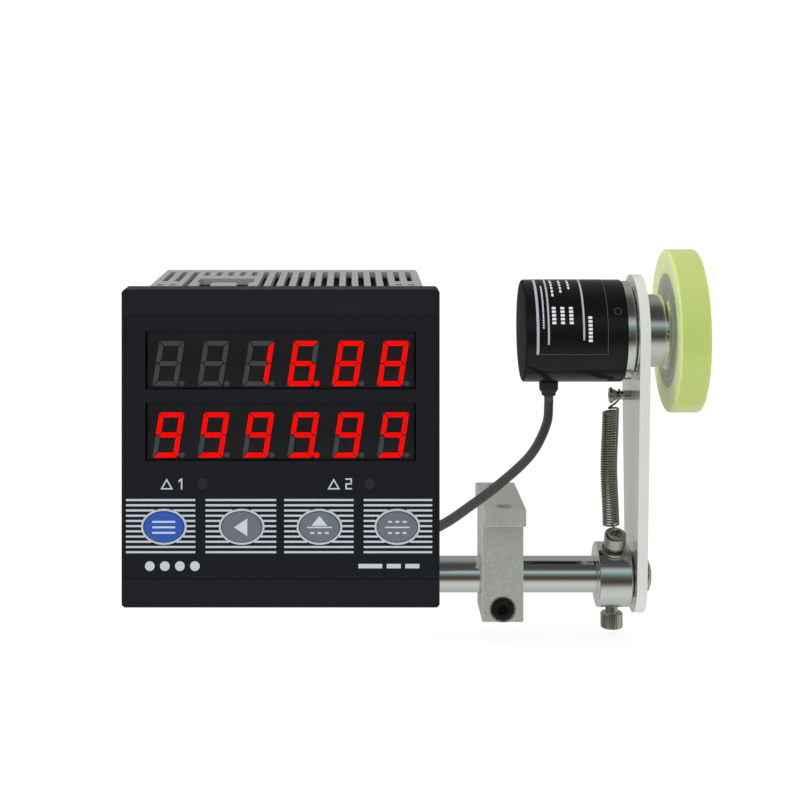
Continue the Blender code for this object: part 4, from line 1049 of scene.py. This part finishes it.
def segment_bars(half_width, half_height, thick, cut):
    """The seven bars of a digit, in the order a to g, as outlines about its centre before it leans."""
    gap, inner = 0.19, thick / 2
    x, z = half_width - inner, half_height - inner
    right = x - gap

    def across(height, top, bottom):
        """A lying bar: its upper and lower edges reach further out by the amounts given."""
        return [
            (-right - top, height + inner), (right + top, height + inner), (right, height),
            (right + bottom, height - inner), (-right - bottom, height - inner), (-right, height),
        ]

    def upright(side, low, high, foot, head):
        """A standing bar between two heights, mitred towards its neighbours."""
        outer, middle, inside = side * (x + inner), side * x, side * (x - inner)
        return [
            (outer, low + foot[0]), (outer, high - head[0]), (middle, high - head[1]),
            (inside, high - head[2]), (inside, low + foot[2]), (middle, low + foot[1]),
        ]

    mitre, joint = (gap - inner, gap, gap + inner), (gap * 0.6, gap, gap + inner)
    return {
        "a": across(z, inner * cut, -inner), "d": across(-z, -inner, inner * cut),
        "g": across(0, -inner, -inner),
        "b": upright(1, 0, z, joint, mitre), "f": upright(-1, 0, z, joint, mitre),
        "c": upright(1, -z, 0, mitre, joint), "e": upright(-1, -z, 0, mitre, joint),
    }


def led_module(node, front):
    """A display module's case, brought up behind the film."""
    low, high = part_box(node)
    margin = 0.2 * MM
    bm = bmesh.new()
    box_into(
        bm, Vector((low.x - margin, front, low.z - margin)),
        Vector((high.x + margin, high.y, high.z + margin)), 0.02,
    )
    add_piece(f"{node}_case", bm, MODULE_FACE, "frame", "led_module", (node,))


def displays():
    """Six leaning seven-bar digits in each window, lit bars and dark bars apart, and their points."""
    pitch, lean = 10.18, math.tan(math.radians(9))
    bars = {
        name: [(u + v * lean, v) for u, v in outline]
        for name, outline in segment_bars(2.85, 5.1, 1.08, 0.9).items()
    }
    point = shifted(oval(0.62, 0.62, 24), 3.05, -4.55)
    front = FILM_HIGH.y + 0.16 * MM
    for row, reading in READINGS.items():
        module = f"led_display_{row}"
        led_module(module, front)
        lit, dark = bmesh.new(), bmesh.new()
        middle = centred(module, y=front)
        for index, digit in enumerate(reading.replace(".", "")):
            at = middle + Vector(((index - 2.5) * pitch, -0.12, -0.75)) * MM
            shapes = [(name in DIGIT_BARS[digit], outline) for name, outline in bars.items()]
            shapes.append((index + 1 == reading.index("."), point))
            for shines, outline in shapes:
                prism_into(lit if shines else dark, outline, at, Y_AXIS * 0.10)
        add_piece(f"lit_bars_{row}", lit, LIT_SEGMENT, "frame", "led_module")
        add_piece(f"dark_bars_{row}", dark, DARK_SEGMENT, "frame", "led_module")


def stripes():
    """Printed silver lines in a panel behind each key, broken where the key's ring stands."""
    count, top, pitch, thick = 11, -11.65, 1.18, 0.46
    panels = ((-35.0, -19.3), (-17.0, -1.0), (0.8, 16.5), (18.8, 34.3))
    wide, tall = KEY_WIDE + 0.60, KEY_TALL + 0.60
    for number, (left, right) in enumerate(panels):
        key = (centre(KEYS[number]) - FACE) / MM
        bm = bmesh.new()
        for z in (top - line * pitch for line in range(count)):
            lift = abs(z - key.z) / tall
            runs = [(left, right)]
            if lift < 1:
                half = wide * math.sqrt(1 - lift * lift)
                runs = [(left, key.x - half), (key.x + half, right)]
            for start, end in runs:
                low, high = Vector((start, -0.03, z - thick / 2)), Vector((end, -0.005, z + thick / 2))
                box_into(bm, FACE + low * MM, FACE + high * MM)
        add_piece(f"stripes_{number + 1}", bm, STRIPE_SILVER, "frame", "film")


def oval_stack(name, levels, at, steps, closed, *look):
    """A piece skinned over ovals of (half width, half height, depth behind a place); an oval of no
    width is a point."""
    bm = bmesh.new()
    loops = []
    for wide, tall, depth in levels:
        outline = oval(wide, tall, steps) if wide else [(0, 0)]
        loops.append([bm.verts.new(at + Vector((u, depth, v)) * MM) for u, v in outline])
    skin_loops(bm, loops, closed)
    add_piece(name, bm, *look)


def key_rings():
    section = ((0.12, 0.005), (0.12, 0.10), (0.20, 0.16), (0.52, 0.16), (0.62, 0.08), (0.62, 0.005))
    levels = [(KEY_WIDE + grow, KEY_TALL + grow, -height) for grow, height in section]
    for number, key in enumerate(KEYS):
        oval_stack(
            f"key_ring_{number + 1}", levels, on_film(key), 96, True, RING_SILVER, "frame", "film"
        )


def key_cap(key, material, body, slot):
    """An oval cap: a rolled edge, a faintly crowned face and a stem behind it."""
    low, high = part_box(key)
    skirt, stem, end = 3.8, 1.5, (high.y - low.y) / MM
    levels = [(share, 0.05 * share ** 2) for share in (0, 0.3, 0.6, 0.8)]
    levels += [(0.9, 0.06), (0.945, 0.10), (0.975, 0.20), (0.995, 0.36), (1.0, 0.6), (1.0, skirt)]
    levels = [(KEY_WIDE * share, KEY_TALL * share, drop) for share, drop in levels]
    levels += [(stem, stem, skirt), (stem, stem, end), (0, 0, end)]
    at = centred(key, y=low.y)
    oval_stack(f"{key}_cap", levels, at, 72, False, material, body, slot, (key,))
    return at


def keys():
    """Four keys with plain marks: lines, a left arrow, an up arrow over dashes, dashes round a rule."""
    dashes = [bar(x, x + 0.9, 0, 0.42) for x in (-2.1, -0.45, 1.2)]
    lower = [shifted(dash, 0, -1.5) for dash in dashes]
    upper = [shifted(dash, 0, 1.05) for dash in dashes]
    rule = bar(-2.8, 2.8, -0.17, 0.13)
    marks = (
        [bar(-2.6, 2.6, z, z + 0.42) for z in (-1.45, -0.21, 1.03)],
        [[(-1.75, 0), (1.3, 2.0), (1.3, -2.0)]],
        [[(-1.8, 0.35), (1.8, 0.35), (0, 2.6)], rule, *lower],
        [rule, *upper, *lower],
    )
    colours = [(KEY_BLUE, "blue_key")] + 3 * [(KEY_GREY, "grey_key")]
    for key, shapes, (material, slot) in zip(KEYS, marks, colours):
        body = key.replace("key_", "") + "_key"
        at = key_cap(key, material, body, slot)
        printed(f"{key}_mark", shapes, at, LEGEND, body, 0.02, 0.05)


def lamps():
    """Two dark domed lamps, each with a small numeral on its left."""
    radius, skirt = 1.35, 3
    for number, node in enumerate(LAMPS):
        at = on_film(node) - Y_AXIS * 0.02 * MM
        end = (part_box(node)[1].y - at.y) / MM
        outline = [
            (radius * math.sin(angle), 0.15 * (1 - math.cos(angle))) for angle in spaced(0, TURN / 4, 6)
        ]
        outline += [(radius, end - skirt), (radius + 0.3, end - skirt), (radius + 0.3, end), (0, end)]
        turned(f"{node}_dome", outline, at, Y_AXIS, LAMP_DARK, "frame", "lamp", 0.1, (node,), 48)
        numeral(number + 1, on_film(node) - X_AXIS * 6.6 * MM)


def numeral(number, at):
    """A thin stroked numeral, one or two, after the outline of a small triangle."""
    half, wide, stroke = 1.25, 0.75, 0.32
    thin, inner = stroke / 2, half - stroke
    strokes = {
        1: [
            bar(-thin, thin, -half, half),
            [(-thin, half), (-wide, half - 0.6), (-wide, half - 0.95), (-thin, half - 0.45)],
        ],
        2: [
            bar(-wide, wide, inner, half), bar(wide - stroke, wide, 0, inner),
            bar(-wide, wide, -thin, thin), bar(-wide, stroke - wide, -inner, -thin),
            bar(-wide, wide, -half, -inner),
        ],
    }
    shapes = [shifted(outline, 1.9, 0) for outline in strokes[number]]
    side, inset = 1.5, 0.3
    corners = [Vector((-side, -half)), Vector((side * 0.9, -half)), Vector((-0.05 * side, half))]
    for start, end in zip(corners, corners[1:] + corners[:1]):
        along = (end - start).normalized()
        inward, back = Vector((-along.y, along.x)) * inset, along * inset * 1.7
        shapes.append(shifted([start, end, end - back + inward, start + back + inward], -1.4, 0))
    printed(f"lamp_numeral_{number}", shapes, at)


def corner_marks():
    """Plain dots and bars low on the film, in place of printed names."""
    shapes = [shifted(oval(1.1, 1.1, 32), -29.6 + 3.4 * number, -26.6) for number in range(4)]
    for left, long in ((17.6, 5.4), (24.0, 3.2), (28.2, 3.2)):
        shapes.append(bar(left, left + long, -27.1, -26.1))
    printed("corner_marks", shapes, FACE)


def terminals():
    """The rear block with a slotted screw in each well."""
    skin_of("terminal_block", TERMINAL, "frame", "terminal_green", 0.2)
    block = centred("terminal_block", y=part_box("terminal_block")[1].y)
    columns, pitch, row, floor = 7, 7.62, 12, -2.5
    rings = [
        (0, -0.3), (2.1, -0.3), (2.1, 0.9), (1.8, 1.2), (0.9, 1.25, hexagon), (0.9, 0.6, hexagon),
        (0, 0.6),
    ]
    bm = bmesh.new()
    for column in range(columns):
        across = (column - (columns - 1) / 2) * pitch
        for z in (-row, row):
            ringed(bm, rings, block + Vector((across, floor, z)) * MM, Y_AXIS, 36)
    add_piece("terminal_screws", bm, NICKEL, "frame", "nickel")
    conductors(block, pitch, row)


def conductors(block, pitch, row):
    """The cable's end: a shrunk sleeve, and four coloured wires bent into the upper terminals."""
    tip_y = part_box("encoder_cable")[0].y
    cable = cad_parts["encoder_cable"].data
    ends = [vert.co for vert in cable.vertices if vert.co.y < tip_y + 0.5 * MM]
    tip = sum(ends, Vector()) / len(ends)
    tip.y = block.y
    sleeve = ring_section(1.8, 2.7, 8, 17)
    turned("cable_sleeve", sleeve, tip, Y_AXIS, BOOT_BLACK, "frame", "black_rubber", 0.4, steps=48)
    for column, (colour, material) in zip((-2, -1, 1, 2), WIRES.items()):
        well = block + Vector((column * pitch, -1, row)) * MM
        start = tip + Vector((column * 0.8, 8.5, 1.2)) * MM
        rise = well + Vector((0, 6, -1.5)) * MM
        knots = [start, start.lerp(rise, 0.4) - Y_AXIS * 1.5 * MM, rise, well]
        bm = bmesh.new()
        tube_into(bm, smooth_path(knots, 8), 0.65)
        add_piece(f"wire_{colour}", bm, material, "frame", "black_rubber", sharp=math.pi)


# ---- nodes that keep their CAD shape

KEPT = (
    (BOARD_GREEN, ("encoder_board", "display_board", "main_board", "power_board")),
    (BLACK_OXIDE, ("optical_sensor", *(f"tact_switch_{number}" for number in (1, 2, 3, 4)))),
    (CHROME, ("bearing_front", "bearing_rear")), (DISC, ("code_disc",)),
    (WINDING, ("transformer",)), (RELAY, ("relay_1", "relay_2")),
)


def finish_kept_nodes():
    for material, nodes in KEPT:
        for node in nodes:
            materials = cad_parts[node].data.materials
            materials.clear()
            materials.append(material)


# ---- floor, light and camera


def floor():
    """A pale floor that glows as well, so that it stays even out to the horizon."""
    nodes = Finish("floor_white")
    white = nodes.set(
        Base_Color=nodes.mix(nodes.noise(3, 2), (0.20, 0.20, 0.20), (0.21, 0.21, 0.21)),
        Roughness=0.8, Specular_IOR_Level=0.0, Emission_Color=(1.0, 1.0, 1.0), Emission_Strength=0.84,
    )
    size, z = 4.0, cad_low.z - 3 * MM
    corners = ((-size, -size), (size, -size), (size, size), (-size, size))
    mesh = bpy.data.meshes.new("floor")
    mesh.from_pydata([(x, y, z) for x, y in corners], [], [(0, 1, 2, 3)])
    mesh.materials.append(white)
    plane = placed("floor", mesh)
    plane.visible_glossy = False


SOFT_LIGHT = 0.80
STUDIO_BANDS = (
    (-180, (0.40, 0.42, 0.39)), (-103, (0.44, 0.46, 0.43)), (-60, (0.57, 0.59, 0.56)),
    (-45, (0.54, 0.56, 0.53)), (-33, (0.42, 0.44, 0.41)), (-24, (0.18, 0.185, 0.16)),
    (-14, (0.07, 0.055, 0.04)), (-3, (0.085, 0.065, 0.045)), (5, (0.10, 0.13, 0.12)),
    (14, (0.16, 0.27, 0.27)), (25, (0.42, 0.48, 0.48)), (34, (0.28, 0.30, 0.30)),
    (41, (0.09, 0.09, 0.095)), (55, (0.06, 0.06, 0.065)), (75, (0.06, 0.062, 0.06)),
    (88, (0.10, 0.10, 0.09)), (100, (0.20, 0.21, 0.19)), (120, (0.29, 0.30, 0.28)),
    (150, (0.27, 0.28, 0.26)), (180, (0.30, 0.31, 0.29)),
)


def studio_world():
    """White to the camera, even light to rough surfaces, and in mirror surfaces a studio of bands that
    lie round the X axis: a pale bench below, a dark room in front with a tinted strip, paper behind."""
    world = bpy.data.worlds.new("studio")
    world.use_nodes = True
    scene = bpy.context.scene
    scene.world = world
    scene.view_settings.view_transform = "Standard"
    nodes = Nodes(world.node_tree, "Generated")
    parts = nodes.parts(nodes.position)
    angle = nodes.maths("ARCTAN2", parts["Z"], nodes.maths("MULTIPLY", parts["Y"], -1.0))
    ramp = nodes.node("ValToRGB", {"Fac": nodes.spread(angle, 0, 1, -math.pi, math.pi)})
    stops = ramp.color_ramp.elements
    stops.remove(stops[1])
    for number, (degrees, colour) in enumerate(STUDIO_BANDS):
        place = 0.5 + degrees / 360
        stop = stops.new(place) if number else stops[0]
        stop.position = place
        stop.color = (*colour, 1)
    to_left = nodes.spread(parts["X"], 1, 0, -0.95, -0.55)
    mirrored = nodes.mix(to_left, ramp.outputs["Color"], (0.10, 0.11, 0.10))
    rays = nodes.node("LightPath").outputs
    seen = nodes.mix(rays["Is Glossy Ray"], (SOFT_LIGHT,) * 3, mirrored)
    colour = nodes.mix(rays["Is Camera Ray"], seen, (1.0, 1.0, 1.0))
    nodes.put(colour, nodes.tree.nodes["Background"].inputs["Color"])


def soft_box(name, offset, wide, tall, power):
    """A soft light, placed from the object's middle and turned to it."""
    light = bpy.data.lights.new(name, "AREA")
    light.shape = "RECTANGLE"
    light.size, light.size_y = wide, tall
    light.energy = power
    lamp = placed(name, light)
    lamp.location = (cad_low + cad_high) / 2 + Vector(offset)
    lamp.rotation_euler = (-Vector(offset)).to_track_quat("-Z", "Y").to_euler()
    lamp.visible_glossy = False


def lights():
    soft_box("top_box", (0, 0.1, 0.9), 1.2, 0.9, 2.5)
    soft_box("front_box", (-0.3, -1.0, 0.5), 0.9, 0.9, 2)
    soft_box("left_box", (-1.0, 0.3, 0.3), 0.8, 0.8, 3)


CAMERA_PLACE = Vector((-59.1, -650.0, 151.9)) * MM
CAMERA_LENS, SENSOR = 74.2, 36.0
CAMERA_SHIFT = {"shift_x": 0.0625, "shift_y": -0.3625}


def camera():
    """A level view camera. Its lens is shifted at its own place only: a driver maps the camera's
    depth to the shift, which falls to nothing as soon as the camera stands anywhere else."""
    data = bpy.data.cameras.new("view")
    data.lens = CAMERA_LENS
    data.sensor_width = SENSOR
    data.clip_start, data.clip_end = 0.01, 20
    viewer = placed("view", data)
    viewer.location = CAMERA_PLACE
    viewer.rotation_euler = (math.pi / 2, 0, 0)
    bpy.context.scene.camera = viewer
    reach = 0.5 * MM
    for path, shift in CAMERA_SHIFT.items():
        curve = data.driver_add(path)
        curve.driver.type = "AVERAGE"
        variable = curve.driver.variables.new()
        variable.type = "TRANSFORMS"
        variable.targets[0].id = viewer
        variable.targets[0].transform_type = "LOC_Y"
        for modifier in list(curve.modifiers):
            curve.modifiers.remove(modifier)
        curve.keyframe_points.add(3)
        for key, share in zip(curve.keyframe_points, (-1, 0, 1)):
            key.co = (CAMERA_PLACE.y + share * reach, 0.0 if share else shift)
            key.interpolation = "LINEAR"


clamp_parts()
rod_parts()
pivot_bolt()
arm_parts()
encoder_parts()
wheel_parts()
tension_spring()
encoder_cable()
counter_case()
displays()
stripes()
key_rings()
keys()
lamps()
corner_marks()
finish_kept_nodes()
floor()
studio_world()
lights()
camera()
